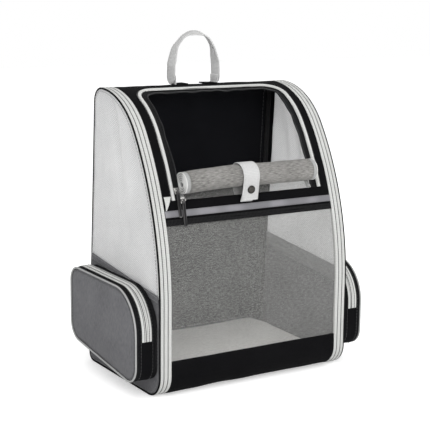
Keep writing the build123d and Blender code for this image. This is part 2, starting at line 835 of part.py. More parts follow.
def buckle_socket():
    """The socket: a flat shell, open at its mouth and at two finger windows."""
    end = socket_mouth + socket_length
    body = block(
        (socket_mouth, end), (-buckle_thickness / 2, buckle_thickness / 2), (-buckle_width / 2, buckle_width / 2)
    )
    body = fillet(body.edges().filter_by(Axis.Y), buckle_corner)
    cavity_half = buckle_width / 2 - buckle_wall
    deep = (-cavity_thickness / 2, cavity_thickness / 2)
    body -= block((socket_mouth - cut_over, socket_mouth + cavity_length), deep, (-cavity_half, cavity_half))
    window_end = prong_tip + window_margin + finger_pad_reach * sin(radians(prong_swing))
    window = (prong_tip - finger_pad_length - window_margin, window_end)
    body -= block(window, deep, (-buckle_width, buckle_width))
    slot_high = end - buckle_bar
    return Pos(0, chest_y(), chest_height) * buckle_end(
        body, slot_high, end + cut_over, slot_high - buckle_slot, slot_high
    )


def buckle_plug():
    """The plug: a base with the webbing bar, and the middle tongue."""
    low = plug_face - plug_length
    body = block(
        (low, plug_face), (-buckle_thickness / 2, buckle_thickness / 2), (-buckle_width / 2, buckle_width / 2)
    )
    body = fillet(body.edges().filter_by(Axis.Y), buckle_corner)
    slot_low = low + buckle_bar
    body = buckle_end(body, low - cut_over, slot_low, slot_low, slot_low + buckle_slot)
    half = tongue_width / 2
    deep = (-cavity_thickness / 2 + fit_gap, cavity_thickness / 2 - fit_gap)
    body += block((plug_face - cut_over, plug_face + tongue_length), deep, (-half, half))
    return Pos(0, chest_y(), chest_height) * body


def buckle_prong(side):
    """A springy side prong with the finger pad that locks in the window."""
    deep = (-cavity_thickness / 2 + fit_gap, cavity_thickness / 2 - fit_gap)
    arm = sorted((side * (prong_offset - prong_thickness / 2), side * (prong_offset + prong_thickness / 2)))
    pad = sorted((side * prong_offset, side * finger_pad_reach))
    prong = block((prong_tip - prong_length, prong_tip), deep, arm)
    finger_pad = block((prong_tip - finger_pad_length, prong_tip), deep, pad)
    finger_pad = fillet(finger_pad.edges().filter_by(Axis.Y).sort_by(Axis.Z)[-2 if side > 0 else 0], finger_pad_radius)
    return Pos(0, chest_y(), chest_height) * (prong + finger_pad)


def arch_stays():
    """The spring stays behind the zip bands, which hold the arch up."""
    stays = []
    for side in (-1, 1):
        middle = side * (wrap_half - stay_place)
        stay = skin(wrap_wall, wrap_wall + stay_thickness, middle - stay_width / 2, middle + stay_width / 2)
        stays.append(stay & front_zone(kick_height, far))
    return stays


def build_parts():
    """Every sub-part by its name."""
    parts = {
        "base_panel": base_panel(),
        "base_board": base_board(),
        "kick_panel": kick_panel(),
        "lower_window_mesh": lower_window_mesh(),
        "cross_band": cross_band(),
        "reflective_tape": reflective_tape(),
        "upper_frame": upper_frame(),
        "opening_piping": opening_binding(),
        "opening_zip_tape": opening_zip(),
        "back_panel": back_panel(),
        "back_board": back_board(),
        "back_padding": back_padding(),
        "edge_piping": edge_piping(),
        "arch_stays": arch_stays(),
        "floor_pad": floor_pad(),
        "carry_handle": carry_handle(),
        "handle_tabs": handle_tabs(),
        "flap_strap": flap_strap(),
        "snap_cap": snap_cap(),
        "snap_tab": snap_tab(),
        "snap_stud": snap_stud(),
    }
    parts.update(flap_parts())
    running = slider_frame(running_slider_x, slider_travel_height)
    parked = slider_frame(parked_slider_x, parked_slider_height)
    parts["running_slider"] = running * zip_slider(running_seat)
    parts["running_pull"] = running * zip_pull(running_seat, pull_length, running_pull_tilt)
    parts["parked_slider"] = parked * zip_slider(parked_seat)
    parts["parked_pull"] = parked * zip_pull(parked_seat, pull_length, parked_pull_tilt)
    for name, side in (("left", -1), ("right", 1)):
        parts["zip_band_" + name] = zip_band(side)
        parts["side_mesh_" + name] = side_panel(side, True)
        parts["side_lower_" + name] = side_panel(side, False)
        parts.update(pocket_parts(name, side))
        frame = pocket_slider_frame(side)
        parts["pocket_slider_" + name] = frame * zip_slider(fit_gap)
        parts["pocket_pull_" + name] = frame * zip_pull(fit_gap, pocket_pull_length, pocket_pull_tilt)
        parts["shoulder_strap_" + name] = shoulder_strap(side)
        parts["ladder_lock_" + name] = ladder_lock(side)
        parts["lower_webbing_" + name] = lower_webbing(side)
    parts["buckle_socket"] = buckle_socket()
    parts["buckle_plug"] = buckle_plug()
    parts["buckle_prong_upper"] = buckle_prong(1)
    parts["buckle_prong_lower"] = buckle_prong(-1)
    plug_bar = plug_face - plug_length + buckle_bar / 2
    socket_bar = socket_mouth + socket_length - buckle_bar / 2
    parts["chest_webbing_left"] = chest_webbing(-1, plug_bar)
    parts["chest_webbing_right"] = chest_webbing(1, socket_bar)
    return parts


def joint_places():
    """Where the moving pieces turn, for whoever sets up the joints."""
    pin_height = slider_height + pull_eye_radius + fit_gap
    running = slider_frame(running_slider_x, slider_travel_height)
    parked = slider_frame(parked_slider_x, parked_slider_height)
    top = flap_strap_lines()[1]
    return {
        "handle": (handle_x, handle_y, handle_pivot),
        "running slider's arc": (running_slider_x, arc_centre_y, upright_front),
        "running pull": running.from_local_coords(Vector(0, 0, running_seat + pin_height)),
        "parked pull": parked.from_local_coords(Vector(0, 0, parked_seat + pin_height)),
        "flap strap": (strap_x, top[0], top[1] + webbing_thickness / 2),
        "left pocket pull": pocket_slider_frame(-1).from_local_coords(Vector(0, 0, fit_gap + pin_height)),
        "buckle prongs": (prong_tip - prong_length, chest_y(), chest_height + prong_offset),
    }


os.makedirs("parts", exist_ok=True)
for part_name, shape in build_parts().items():
    solids = shape if isinstance(shape, list) else shape.solids()
    print(part_name, len(solids), round(sum(solid.volume for solid in solids)))
    export_step(Compound(children=solids) if len(solids) > 1 else solids[0], "parts/" + part_name + ".step")
for place_name, place in joint_places().items():
    print(place_name, [round(value, 3) for value in place])
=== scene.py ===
# %% [markdown]
# # A soft pet carrier that is worn as a backpack
#
# The real object is sewn from flat cloth: a stiff front strip, a window of fine mesh, a black
# frame round the top opening, and two side panels, all joined by zip bands. In Blender the same
# plan works well. Each piece is cut flat, wrapped round one outline, and then gets its cloth.
# The CAD model comes in first as a fixed frame, so every piece knows its place and its body.

from math import acos, asin, atan2, cos, exp, hypot, pi, radians, sin, sqrt, tan

import bmesh
import bpy
from mathutils import Matrix, Vector, noise
from mathutils.bvhtree import BVHTree


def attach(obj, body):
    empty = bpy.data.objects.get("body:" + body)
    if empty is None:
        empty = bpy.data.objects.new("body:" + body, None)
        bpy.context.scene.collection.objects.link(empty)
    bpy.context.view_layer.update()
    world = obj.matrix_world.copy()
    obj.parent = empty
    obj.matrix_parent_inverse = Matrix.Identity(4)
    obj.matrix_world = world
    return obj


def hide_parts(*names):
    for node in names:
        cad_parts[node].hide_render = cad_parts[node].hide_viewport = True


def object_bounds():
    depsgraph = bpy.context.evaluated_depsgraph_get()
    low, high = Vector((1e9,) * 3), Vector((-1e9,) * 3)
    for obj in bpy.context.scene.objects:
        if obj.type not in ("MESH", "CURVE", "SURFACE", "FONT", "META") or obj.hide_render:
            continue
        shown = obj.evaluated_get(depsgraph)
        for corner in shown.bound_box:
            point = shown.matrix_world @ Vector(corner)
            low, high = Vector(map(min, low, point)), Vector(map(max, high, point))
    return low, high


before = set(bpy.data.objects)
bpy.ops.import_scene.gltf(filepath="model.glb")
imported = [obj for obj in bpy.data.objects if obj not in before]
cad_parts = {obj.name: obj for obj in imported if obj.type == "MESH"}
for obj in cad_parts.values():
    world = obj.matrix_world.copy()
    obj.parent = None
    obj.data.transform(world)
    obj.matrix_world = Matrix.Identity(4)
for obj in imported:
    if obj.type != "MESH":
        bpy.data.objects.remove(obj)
cad_low, cad_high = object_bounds()
print("CAD box", [round(v, 4) for v in cad_low], [round(v, 4) for v in cad_high])

# %% [markdown]
# ## The carrier's sizes
#
# These are the maker's own measures, in metres, as in the part's source. They are written once
# here, and every pattern below is worked out from them. Patterns are cut a little short of their
# neighbours and a little thinner than the wall, so that no two cloths share a face.

# %% Sizes in metres
body_width = 0.320
body_height = 0.420
front_y = -0.110
back_foot_y = 0.113
upright_front = 0.130
front_radius = 0.420
front_turn = radians(34)
corner_radius = 0.022
foot_radius = 0.033
back_foot_radius = 0.012
wall = 0.0044
side_wall = 0.0022
band_width = 0.017
kick_height = 0.053
band_bottom, band_top = 0.242, 0.275
tape_bottom, tape_top = 0.253, 0.262
opening_half = 0.121
opening_top = 0.416
half_width = body_width / 2
wrap_half = half_width - side_wall
face_half = wrap_half - band_width
cut_gap = 0.0003
cloth_depth = wall - 0.0004
front_half = face_half - cut_gap
both_sides = ((-1, "left"), (1, "right"))

# %% [markdown]
# ## One outline for all the cloth
#
# From the side the carrier is a chain of straight runs and arcs: a rounded foot, an upright
# front, a long arc that leans back, a tighter arc over the top, and a raked back. A function that
# walks along this chain turns a length of cloth into a place in space. That is what a tailor does
# when a flat strip is laid on a form, and it keeps every piece exactly on the same surface.


# %% Walk along a chain of runs and arcs
def track(start, heading, legs):
    """A side-view path. Each leg is (length, radius), and a radius of None is a straight run."""

    def place(along, out=0.0):
        y, z, turn = start[0], start[1], heading
        for length, radius in legs:
            step = min(along, length)
            if radius:
                centre_y, centre_z = y + radius * sin(turn), z + radius * cos(turn)
                turn += step / radius
                y, z = centre_y - radius * sin(turn), centre_z - radius * cos(turn)
            else:
                y, z = y - step * cos(turn), z + step * sin(turn)
            along -= step
            if along <= 0:
                break
        return y - out * sin(turn), z - out * cos(turn)

    return place


# %% The carrier's own outline
arc_centre_y = front_y + front_radius
arc_end = upright_front + front_radius * sin(front_turn)
top_radius = (body_height - arc_end) / (1 - sin(front_turn))
apex_y = arc_centre_y - (front_radius - top_radius) * cos(front_turn)
corner_z = body_height - corner_radius
back_reach = hypot(back_foot_y - apex_y, corner_z)
back_lean = acos(corner_radius / back_reach) - atan2(corner_z, back_foot_y - apex_y)
corner_turn = pi / 2 - back_lean
back_top_z = corner_z + corner_radius * sin(back_lean)
back_foot_tangent = back_foot_radius * tan(corner_turn / 2 + back_lean)
back_run = back_top_z / cos(back_lean) - back_foot_tangent
shell_legs = [
    (foot_radius * pi / 2, foot_radius),
    (upright_front - foot_radius, None),
    (front_radius * front_turn, front_radius),
    (top_radius * (pi / 2 - front_turn), top_radius),
    (corner_radius * corner_turn, corner_radius),
    (back_run, None),
    (back_foot_radius * (pi / 2 + back_lean), back_foot_radius),
]
shell = track((front_y + foot_radius, 0.0), 0.0, shell_legs)
apex_run = sum(length for length, radius in shell_legs[:4])
back_end = sum(length for length, radius in shell_legs)


# %% Heights and lengths along the outline
def run_at(height):
    """How far along the outline the front reaches a height."""
    if height <= upright_front:
        return shell_legs[0][0] + height - foot_radius
    return shell_legs[0][0] + shell_legs[1][0] + front_radius * asin((height - upright_front) / front_radius)


def back_run_at(height):
    """How far along the outline the back comes down to a height."""
    return sum(length for length, radius in shell_legs[:5]) + (back_top_z - height) / cos(back_lean)


print("outline", round(back_end, 4), "m, apex at", round(apex_run, 4), "top", [round(v, 4) for v in shell(apex_run)])

# %% [markdown]
# ## Helpers for cutting, wrapping and finishing
#
# A pattern piece is a flat bmesh: X runs across the carrier, Y is the length along the outline and
# Z is the height off the cloth's face. Its flat place becomes its UV map first, so weaves follow
# the cloth and not the room. Then each vertex is laid on the outline.


# %% Wrap a flat pattern
def keep_flat_map(bm):
    """Writes the flat place of each corner as its UV, in metres."""
    layer = bm.loops.layers.uv.verify()
    for face in bm.faces:
        for loop in face.loops:
            loop[layer].uv = (loop.vert.co.x, loop.vert.co.y)


def lay(bm, path=shell):
    """Lays a flat piece on the outline, or on another path."""
    for vert in bm.verts:
        y, z = path(vert.co.y, vert.co.z)
        vert.co = (vert.co.x, y, z)
    return bm


def wrap(bm, path=shell):
    """Maps a flat pattern and then lays it."""
    keep_flat_map(bm)
    return lay(bm, path)


def slacken(bm, depth, size, seed):
    """Lifts a flat pattern in soft waves, the same on both of its faces."""
    for vert in bm.verts:
        spot = Vector((vert.co.x / size[0], vert.co.y / size[1], seed))
        vert.co.z += depth * noise.noise(spot)
    return bm


# %% Make an object of a piece
def new_object(name, data):
    """An object in the scene, at the origin."""
    item = bpy.data.objects.new(name, data)
    bpy.context.scene.collection.objects.link(item)
    return item


def add_piece(name, bm, material, nodes=(), body="shell", sharp=radians(40), closed=True):
    """Makes the object, sets its material, puts it on its body and hides the CAD nodes it stands for."""
    if closed:
        bmesh.ops.recalc_face_normals(bm, faces=bm.faces)
    mesh = bpy.data.meshes.new(name)
    bm.to_mesh(mesh)
    bm.free()
    mesh.shade_smooth()
    mesh.set_sharp_from_angle(angle=sharp)
    piece = new_object(name, mesh)
    mesh.materials.append(material)
    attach(piece, body)
    if nodes:
        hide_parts(*nodes)
    print(name, len(mesh.polygons), "faces")
    return piece


def thicken(piece, thickness, offset=-1.0):
    """Gives a sheet its cloth thickness with a modifier."""
    modifier = piece.modifiers.new("thickness", "SOLIDIFY")
    modifier.thickness = thickness
    modifier.offset = offset
    return piece


# %% [markdown]
# ## Sweeping a section along a path
#
# Webbing, piping, zip coils and bands all have one section that runs along a line. The section is
# drawn once, extruded edge by edge, and each new row is carried to the next place by a matrix.
# The sweep remembers the length that it has travelled, which becomes the UV map.


# %% Places along a path
def headings(path):
    """The direction of a path at each of its points."""
    last = len(path) - 1
    return [(path[min(k + 1, last)] - path[max(k - 1, 0)]).normalized() for k in range(len(path))]


def place_at(point, along, facing):
    """A matrix at a point: X across, Y out of the face, Z along the path."""
    out = (facing - along * facing.dot(along)).normalized()
    matrix = Matrix((out.cross(along), out, along)).transposed().to_4x4()
    matrix.translation = point
    return matrix


def places_along(path, facing):
    """The matrices of a whole path, with one facing for all its points or a list of them."""
    ways = facing if isinstance(facing, list) else [facing] * len(path)
    return [place_at(*spot) for spot in zip(path, headings(path), ways)]


def places_round(path, facing):
    """The same for a closed path."""
    matrices = places_along([path[-1]] + path + [path[0]], [facing[-1]] + facing + [facing[0]])
    return matrices[1:-1]


def across_sign(places):
    """1 where the sections' own X points to the carrier's right, and -1 where it points left."""
    return 1 if (places[0].to_3x3() @ Vector((1, 0, 0))).x > 0 else -1


# %% Sweep a section
def sweep(section, places, loop=False):
    """Carries a closed section of (across, out) points along the places, and maps it as it goes."""
    bm = bmesh.new()
    across = bm.verts.layers.float.new("across")
    along = bm.verts.layers.float.new("along")
    verts = []
    girth = 0.0
    for index, (x, y) in enumerate(section):
        vert = bm.verts.new(places[0] @ Vector((x, y, 0)))
        if index:
            girth += hypot(x - section[index - 1][0], y - section[index - 1][1])
        vert[across] = girth
        verts.append(vert)
    edges = [bm.edges.new(pair) for pair in zip(verts, verts[1:] + verts[:1])]
    first = list(edges)
    travelled = 0.0
    for before, after in zip(places, places[1:] + (places[:1] if loop else [])):
        made = bmesh.ops.extrude_edge_only(bm, edges=edges)["geom"]
        fresh = {item for item in made if isinstance(item, bmesh.types.BMVert)}
        edges = [e for e in made if isinstance(e, bmesh.types.BMEdge) and e.verts[0] in fresh and e.verts[1] in fresh]
        bmesh.ops.transform(bm, matrix=after @ before.inverted(), verts=list(fresh))
        travelled += (after.translation - before.translation).length
        for vert in fresh:
            vert[along] = travelled
    layer = bm.loops.layers.uv.verify()
    for face in bm.faces:
        spread = max(v[across] for v in face.verts) - min(v[across] for v in face.verts)
        for corner in face.loops:
            extra = girth if spread > girth / 2 and corner.vert[across] < girth / 2 else 0.0
            corner[layer].uv = (corner.vert[across] + extra, corner.vert[along])
    if loop:
        bmesh.ops.remove_doubles(bm, verts=bm.verts, dist=1e-6)
    else:
        bmesh.ops.edgeloop_fill(bm, edges=first)
        bmesh.ops.edgeloop_fill(bm, edges=edges)
    return bm


# %% Sections of webbing and round trim
def flat_section(width, thickness):
    """Webbing's section: a flat strip with rolled edges."""
    half, deep = width / 2, thickness / 2
    edge = 0.9 * deep
    return [
        (-half + edge, -deep), (0, -deep), (half - edge, -deep), (half, -deep * 0.3), (half, deep * 0.3),
        (half - edge, deep), (0, deep), (-half + edge, deep), (-half, deep * 0.3), (-half, -deep * 0.3),
    ]


def round_section(radius, sides=8):
    """A round section."""
    return [(radius * cos(2 * pi * k / sides), radius * sin(2 * pi * k / sides)) for k in range(sides)]


# %% Rounded lines and even steps
def rounded(points, radii, step=0.003):
    """The points of a line with its corners rounded to the given radii."""
    points = [Vector(point) for point in points]
    path = [points[0]]
    for before, corner, after, radius in zip(points, points[1:], points[2:], radii):
        inward, outward = (corner - before).normalized(), (after - corner).normalized()
        turn = inward.angle(outward)
        start = corner - inward * radius * tan(turn / 2)
        axis = inward.cross(outward).normalized()
        centre = start + axis.cross(inward) * radius
        count = max(2, int(radius * turn / step))
        path += [centre + Matrix.Rotation(turn * k / count, 3, axis) @ (start - centre) for k in range(count + 1)]
    return path + [points[-1]]


def even(path, step):
    """Points at even steps along a path."""
    lengths = [0.0]
    for before, after in zip(path, path[1:]):
        lengths.append(lengths[-1] + (after - before).length)
    count = max(2, round(lengths[-1] / step))
    result, index = [], 0
    for k in range(count + 1):
        wanted = lengths[-1] * k / count
        while index < len(path) - 2 and lengths[index + 1] < wanted:
            index += 1
        share = (wanted - lengths[index]) / max(lengths[index + 1] - lengths[index], 1e-9)
        result.append(path[index].lerp(path[index + 1], share))
    return result


# %% Lines on the outline
def on_outline(flat_points, out=0.0, path=shell):
    """Flat (x, run) points laid on the outline, and the direction straight out of it at each."""
    points, facing = [], []
    for x, run in flat_points:
        y, z = path(run, out)
        far_y, far_z = path(run, out + 0.01)
        points.append(Vector((x, y, z)))
        facing.append(Vector((0, far_y - y, far_z - z)).normalized())
    return points, facing


def outline_path(x, start, end, out=0.0, step=0.004, path=shell):
    """Points and outward directions at even steps along the outline, at one X."""
    count = max(2, round(abs(end - start) / step))
    return on_outline([(x, start + (end - start) * k / count) for k in range(count + 1)], out, path)


# %% [markdown]
# ## Zip coils and stitches
#
# Small repeated things make sewn goods look real. A zip's coil is a thin tube whose radius swells
# at every turn, which a sweep can do by scaling its places. A stitch is a short six-sided bar that
# is partly sunk in the cloth. Both have few faces, because there are hundreds of them.


# %% Coils and rows of stitches
def nearest_ways(facing, count):
    """One direction for each of a count of even steps, from a shorter or longer list of them."""
    last = len(facing) - 1
    return [facing[min(last, round(k * last / (count - 1)))] for k in range(count)]


def coil(points, facing, radius, pitch=0.0016):
    """A ribbed tube: the places swell and shrink along the path."""
    path = even(points, pitch / 2)
    places = places_along(path, nearest_ways(facing, len(path)))
    for index, matrix in enumerate(places):
        size = 1.0 if index % 2 else 0.72
        places[index] = matrix @ Matrix.Diagonal((size, size, 1, 1))
    return sweep(round_section(radius, 6), places)


def stitches(name, rows, material, radius=0.00032, length=0.0028, gap=0.0014, body="shell"):
    """Rows of thread, each row a (points, facing) pair, as one piece."""
    bm = bmesh.new()
    for points, facing in rows:
        path = even(points, length + gap)
        for before, after, way in zip(path, path[1:], nearest_ways(facing, len(path))):
            along = (after - before).normalized()
            place = place_at(before + along * (length + gap) / 2, along, way)
            made = bmesh.ops.create_cone(bm, segments=6, radius1=radius, radius2=radius, depth=length, cap_ends=True,
                                         matrix=place)
            for vert in made["verts"]:
                vert.co += place.col[1].xyz * radius * 0.4
    return add_piece(name, bm, material, body=body, closed=False)


# %% [markdown]
# ## One recipe for cloth
#
# Every cloth here is threads in two directions, so one recipe serves them all. Two wave textures
# run along the cloth's own map, one for each direction, and their product is high where threads
# cross. That height drives the bump and lets the thread colour show. A large soft noise makes
# the slight blotches that dyed cloth has, and a fine stretched noise is the heather of its yarn.
# The scale is in metres, so 0.0006 is a thread every 0.6 mm.


# %% Small helpers for shader nodes
def shader(name, colour, roughness, **inputs):
    """A material with a Principled shader whose plain values sit on its own sockets."""
    material = bpy.data.materials.new(name)
    material.use_nodes = True
    tree = material.node_tree
    surface = tree.nodes["Principled BSDF"]
    surface.inputs["Base Color"].default_value = (*colour, 1)
    surface.inputs["Roughness"].default_value = roughness
    for key, value in inputs.items():
        surface.inputs[key.replace("_", " ")].default_value = value
    return material, tree, surface


def add_node(tree, kind, inputs=(), **settings):
    """Adds a node, sets it, and links or sets its inputs by number or name."""
    node = tree.nodes.new("ShaderNode" + kind)
    for key, value in settings.items():
        setattr(node, key, value)
    for key, value in dict(inputs).items():
        if isinstance(value, bpy.types.NodeSocket):
            tree.links.new(value, node.inputs[key])
        else:
            node.inputs[key].default_value = value
    return node


def math_node(tree, operation, first, second=0.5, third=0.5):
    """One step of arithmetic."""
    return add_node(tree, "Math", {0: first, 1: second, 2: third}, operation=operation).outputs[0]


def spread(tree, value, low, high, to_low=0.0, to_high=1.0):
    """Stretches a span of values over another span."""
    inputs = {"Value": value, "From Min": low, "From Max": high, "To Min": to_low, "To Max": to_high}
    return add_node(tree, "MapRange", inputs).outputs[0]


def blend_colours(tree, factor, first, second):
    """Mixes two colours by a factor."""
    node = add_node(tree, "Mix", data_type="RGBA")
    for socket, value in ((node.inputs[0], factor), (node.inputs[6], first), (node.inputs[7], second)):
        if isinstance(value, bpy.types.NodeSocket):
            tree.links.new(value, socket)
        else:
            socket.default_value = value if isinstance(value, float) else (*value, 1)
    return node.outputs[2]


# %% Patterns and bump
def lines(tree, vector, pitch, direction="X", wander=0.0):
    """Soft parallel lines, one for each pitch in metres."""
    inputs = {"Vector": vector, "Scale": pi / (10 * pitch), "Distortion": wander, "Detail Scale": 2.0}
    return add_node(tree, "TexWave", inputs, bands_direction=direction).outputs["Fac"]


def clouds(tree, vector, size, detail=2.0):
    """A soft noise whose features are about one size in metres."""
    return add_node(tree, "TexNoise", {"Vector": vector, "Scale": 1 / size, "Detail": detail}).outputs["Fac"]


def turned(tree, vector, angle=0.0, scale=(1, 1, 1)):
    """Turns or stretches a pattern."""
    return add_node(tree, "Mapping", {"Vector": vector, "Rotation": (0, 0, angle), "Scale": scale}).outputs[0]


def raise_bump(tree, surface, height, distance):
    """Turns a height in 0 to 1 into a bump of a distance in metres."""
    bump = add_node(tree, "Bump", {"Height": height, "Distance": distance, "Strength": 1.0})
    tree.links.new(bump.outputs[0], surface.inputs["Normal"])


# %% The cloth recipe
def cloth(name, colour, light, thread=0.0007, turn=0.0, roughness=0.85, sheen=0.2, heather=0.35, blotch=0.25,
          bump=0.00025, ribs=None, rib_share=0.8, holes=0.0, wear=0.0, streak=1.0, yarn_size=0.0022, shine=0.1,
          glow=0.0):
    """Woven cloth: colour is the shade between threads, light is the thread's crown."""
    material, tree, surface = shader(name, colour, roughness, Sheen_Weight=sheen, Sheen_Roughness=0.5,
                                     Specular_IOR_Level=shine, Subsurface_Weight=glow, Subsurface_Scale=0.012)
    surface.inputs["Subsurface Radius"].default_value = (1, 1, 1)
    spot = add_node(tree, "TexCoord")
    flat = turned(tree, spot.outputs["UV"], turn) if turn else spot.outputs["UV"]
    warp = lines(tree, flat, thread, "X", 0.4)
    weft = lines(tree, flat, thread, "Y", 0.4)
    crossing = math_node(tree, "MULTIPLY", warp, weft)
    yarn = clouds(tree, turned(tree, flat, 0.0, (1, streak, 1)), yarn_size, 4.0)
    dye = clouds(tree, spot.outputs["Object"], 0.045, 2.0)
    share = math_node(tree, "MULTIPLY_ADD", spread(tree, yarn, 0.3, 0.7), heather, crossing)
    share = math_node(tree, "MULTIPLY_ADD", spread(tree, dye, 0.3, 0.7), blotch, share)
    height = math_node(tree, "MULTIPLY_ADD", yarn, 0.5, crossing)
    if ribs:
        rib = lines(tree, flat, ribs[0], ribs[1], 0.15)
        height = math_node(tree, "MULTIPLY_ADD", rib, 2.5 * rib_share, height)
        share = math_node(tree, "MULTIPLY_ADD", rib, rib_share, share)
        bump = bump * 2
    top = 1.0 + heather + blotch + (rib_share if ribs else 0.0)
    tint = blend_colours(tree, spread(tree, share, 0.0, top * 0.85), colour, light)
    if wear:
        edge = add_node(tree, "NewGeometry").outputs["Pointiness"]
        paler_edge = math_node(tree, "MULTIPLY", spread(tree, edge, 0.52, 0.6, 0.0, wear), spread(tree, yarn, 0.35, 0.6))
        paler = tuple(min(1.0, value * 1.4 + 0.12) for value in light)
        tint = blend_colours(tree, paler_edge, tint, paler)
    tree.links.new(tint, surface.inputs["Base Color"])
    rough = spread(tree, share, 0.0, top, min(1.0, roughness + 0.08), roughness - 0.1)
    tree.links.new(rough, surface.inputs["Roughness"])
    raise_bump(tree, surface, height, bump)
    if holes:
        widest = math_node(tree, "MAXIMUM", warp, weft)
        tree.links.new(math_node(tree, "GREATER_THAN", widest, holes), surface.inputs["Alpha"])
    return material


# %% [markdown]
# ## The carrier's cloths
#
# The frame is black polyester, the lower sides are a dark grey melange and the upper sides are a
# pale mesh with a fine diagonal. The zip bands are pale grey and ribbed, and the piping is plain.
# The colours are written as linear values, a little lighter than black even for the black cloth,
# because real black cloth always sends back some light from its fibres.

# %% Cloths
black_cloth = cloth("black polyester", (0.0016, 0.0016, 0.0020), (0.0080, 0.0080, 0.0088), thread=0.0010, sheen=0.0,
                    shine=0.04, wear=0.1)
black_rib = cloth("black zip cloth", (0.0015, 0.0015, 0.002), (0.020, 0.020, 0.021), thread=0.0008,
                  ribs=(0.0022, "X"), sheen=0.02, shine=0.06)
lining_cloth = cloth("black lining", (0.0022, 0.0023, 0.0032), (0.0085, 0.009, 0.0115), thread=0.001, sheen=0.03,
                     shine=0.05)
grey_cloth = cloth("dark grey melange", (0.070, 0.070, 0.075), (0.195, 0.195, 0.205), thread=0.0011, heather=0.5,
                   streak=0.3, sheen=0.08, wear=0.12)
pale_mesh = cloth("pale side mesh", (0.48, 0.485, 0.49), (0.97, 0.97, 0.965), thread=0.0025, turn=radians(38),
                  heather=0.3, blotch=0.2, bump=0.0006, roughness=0.75, sheen=0.1, glow=0.6)
seam_cloth = cloth("grey seam tape", (0.26, 0.26, 0.27), (0.44, 0.44, 0.45), ribs=(0.002, "Y"), thread=0.0006)
roll_cloth = cloth("heathered mesh roll", (0.045, 0.043, 0.041), (0.42, 0.41, 0.39), thread=0.0012, heather=1.8,
                   blotch=0.5, bump=0.0006, streak=9.0, yarn_size=0.008, sheen=0.1)
zip_cloth = cloth("pale zip band", (0.46, 0.465, 0.45), (0.76, 0.765, 0.75), thread=0.0009, ribs=(0.0024, "Y"),
                  rib_share=0.3, heather=0.25, blotch=0.12, bump=0.0002, roughness=0.7, sheen=0.1)
pocket_trim = cloth("grey pocket piping", (0.24, 0.242, 0.24), (0.50, 0.505, 0.50), thread=0.0008, heather=0.3,
                    bump=0.0002, sheen=0.1)
pale_cloth = cloth("pale piping", (0.40, 0.405, 0.395), (0.70, 0.705, 0.69), thread=0.0008, heather=0.3, bump=0.0002,
                   sheen=0.1)
pale_webbing = cloth("pale webbing", (0.44, 0.44, 0.44), (0.74, 0.74, 0.735), thread=0.0010, ribs=(0.0022, "Y"),
                     rib_share=0.35, heather=0.35, blotch=0.2, bump=0.0002, wear=0.1, sheen=0.1)
black_webbing = cloth("black webbing", (0.005, 0.005, 0.0055), (0.034, 0.034, 0.036), thread=0.0011,
                      ribs=(0.0034, "X"), bump=0.0004, wear=0.2, sheen=0.03, shine=0.08)
strap_cloth = cloth("black strap cloth", (0.005, 0.005, 0.006), (0.026, 0.026, 0.029), thread=0.0014, sheen=0.05,
                    shine=0.06, wear=0.2)
spacer_mesh = cloth("black spacer mesh", (0.003, 0.003, 0.0036), (0.046, 0.046, 0.050), thread=0.0034,
                    turn=radians(45), bump=0.0009, heather=0.15, sheen=0.05, shine=0.06)
pad_cloth = cloth("pale pad cover", (0.66, 0.645, 0.61), (0.93, 0.915, 0.88), thread=0.0015, heather=0.9, blotch=0.4,
                  sheen=0.3, bump=0.0007, roughness=0.95, yarn_size=0.004)
window_mesh = cloth("window mesh", (0.12, 0.12, 0.114), (0.56, 0.56, 0.545), thread=0.0012, heather=1.1, holes=0.925,
                    bump=0.0002, roughness=0.6, streak=3.0, yarn_size=0.006, sheen=0.02)
print(len(bpy.data.materials), "cloths")

# %% [markdown]
# ## Threads, reflective tape, plastic, rubber and metal
#
# The reflective tape is a grey film of tiny glass beads with faint lines across it. Thread is a
# twisted strand, so its lines lean. Plastic has a fine moulded grain and is paler on its edges
# from rubbing. Rubber is duller, and the dark pulls are painted much paler on their edges as a
# painted rim highlight. The zip sliders are bright plated metal with small scratches.


# %% Tape and thread
def film(name, colour, light):
    """Reflective film: beads under a clear skin, with seams across."""
    material, tree, surface = shader(name, colour, 0.4, Coat_Weight=0.25, Coat_Roughness=0.3)
    spot = add_node(tree, "TexCoord")
    beads = clouds(tree, spot.outputs["UV"], 0.0006, 3.0)
    rows = lines(tree, spot.outputs["UV"], 0.0016, "X", 0.0)
    wide = clouds(tree, turned(tree, spot.outputs["UV"], 0.0, (1, 0.02, 1)), 0.03, 0.0)
    share = math_node(tree, "MULTIPLY_ADD", spread(tree, wide, 0.4, 0.6), 0.6, math_node(tree, "MULTIPLY", beads, rows))
    tree.links.new(blend_colours(tree, share, colour, light), surface.inputs["Base Color"])
    tree.links.new(spread(tree, beads, 0.3, 0.7, 0.32, 0.5), surface.inputs["Roughness"])
    raise_bump(tree, surface, math_node(tree, "MULTIPLY_ADD", rows, 0.6, beads), 0.0001)
    return material


def thread_finish(name, colour):
    """Twisted thread."""
    material, tree, surface = shader(name, colour, 0.6, Sheen_Weight=0.3)
    spot = add_node(tree, "TexCoord")
    twist = lines(tree, spot.outputs["Object"], 0.0008, "DIAGONAL", 0.5)
    darker = tuple(value * 0.6 for value in colour)
    tree.links.new(blend_colours(tree, twist, darker, colour), surface.inputs["Base Color"])
    raise_bump(tree, surface, twist, 0.0001)
    return material


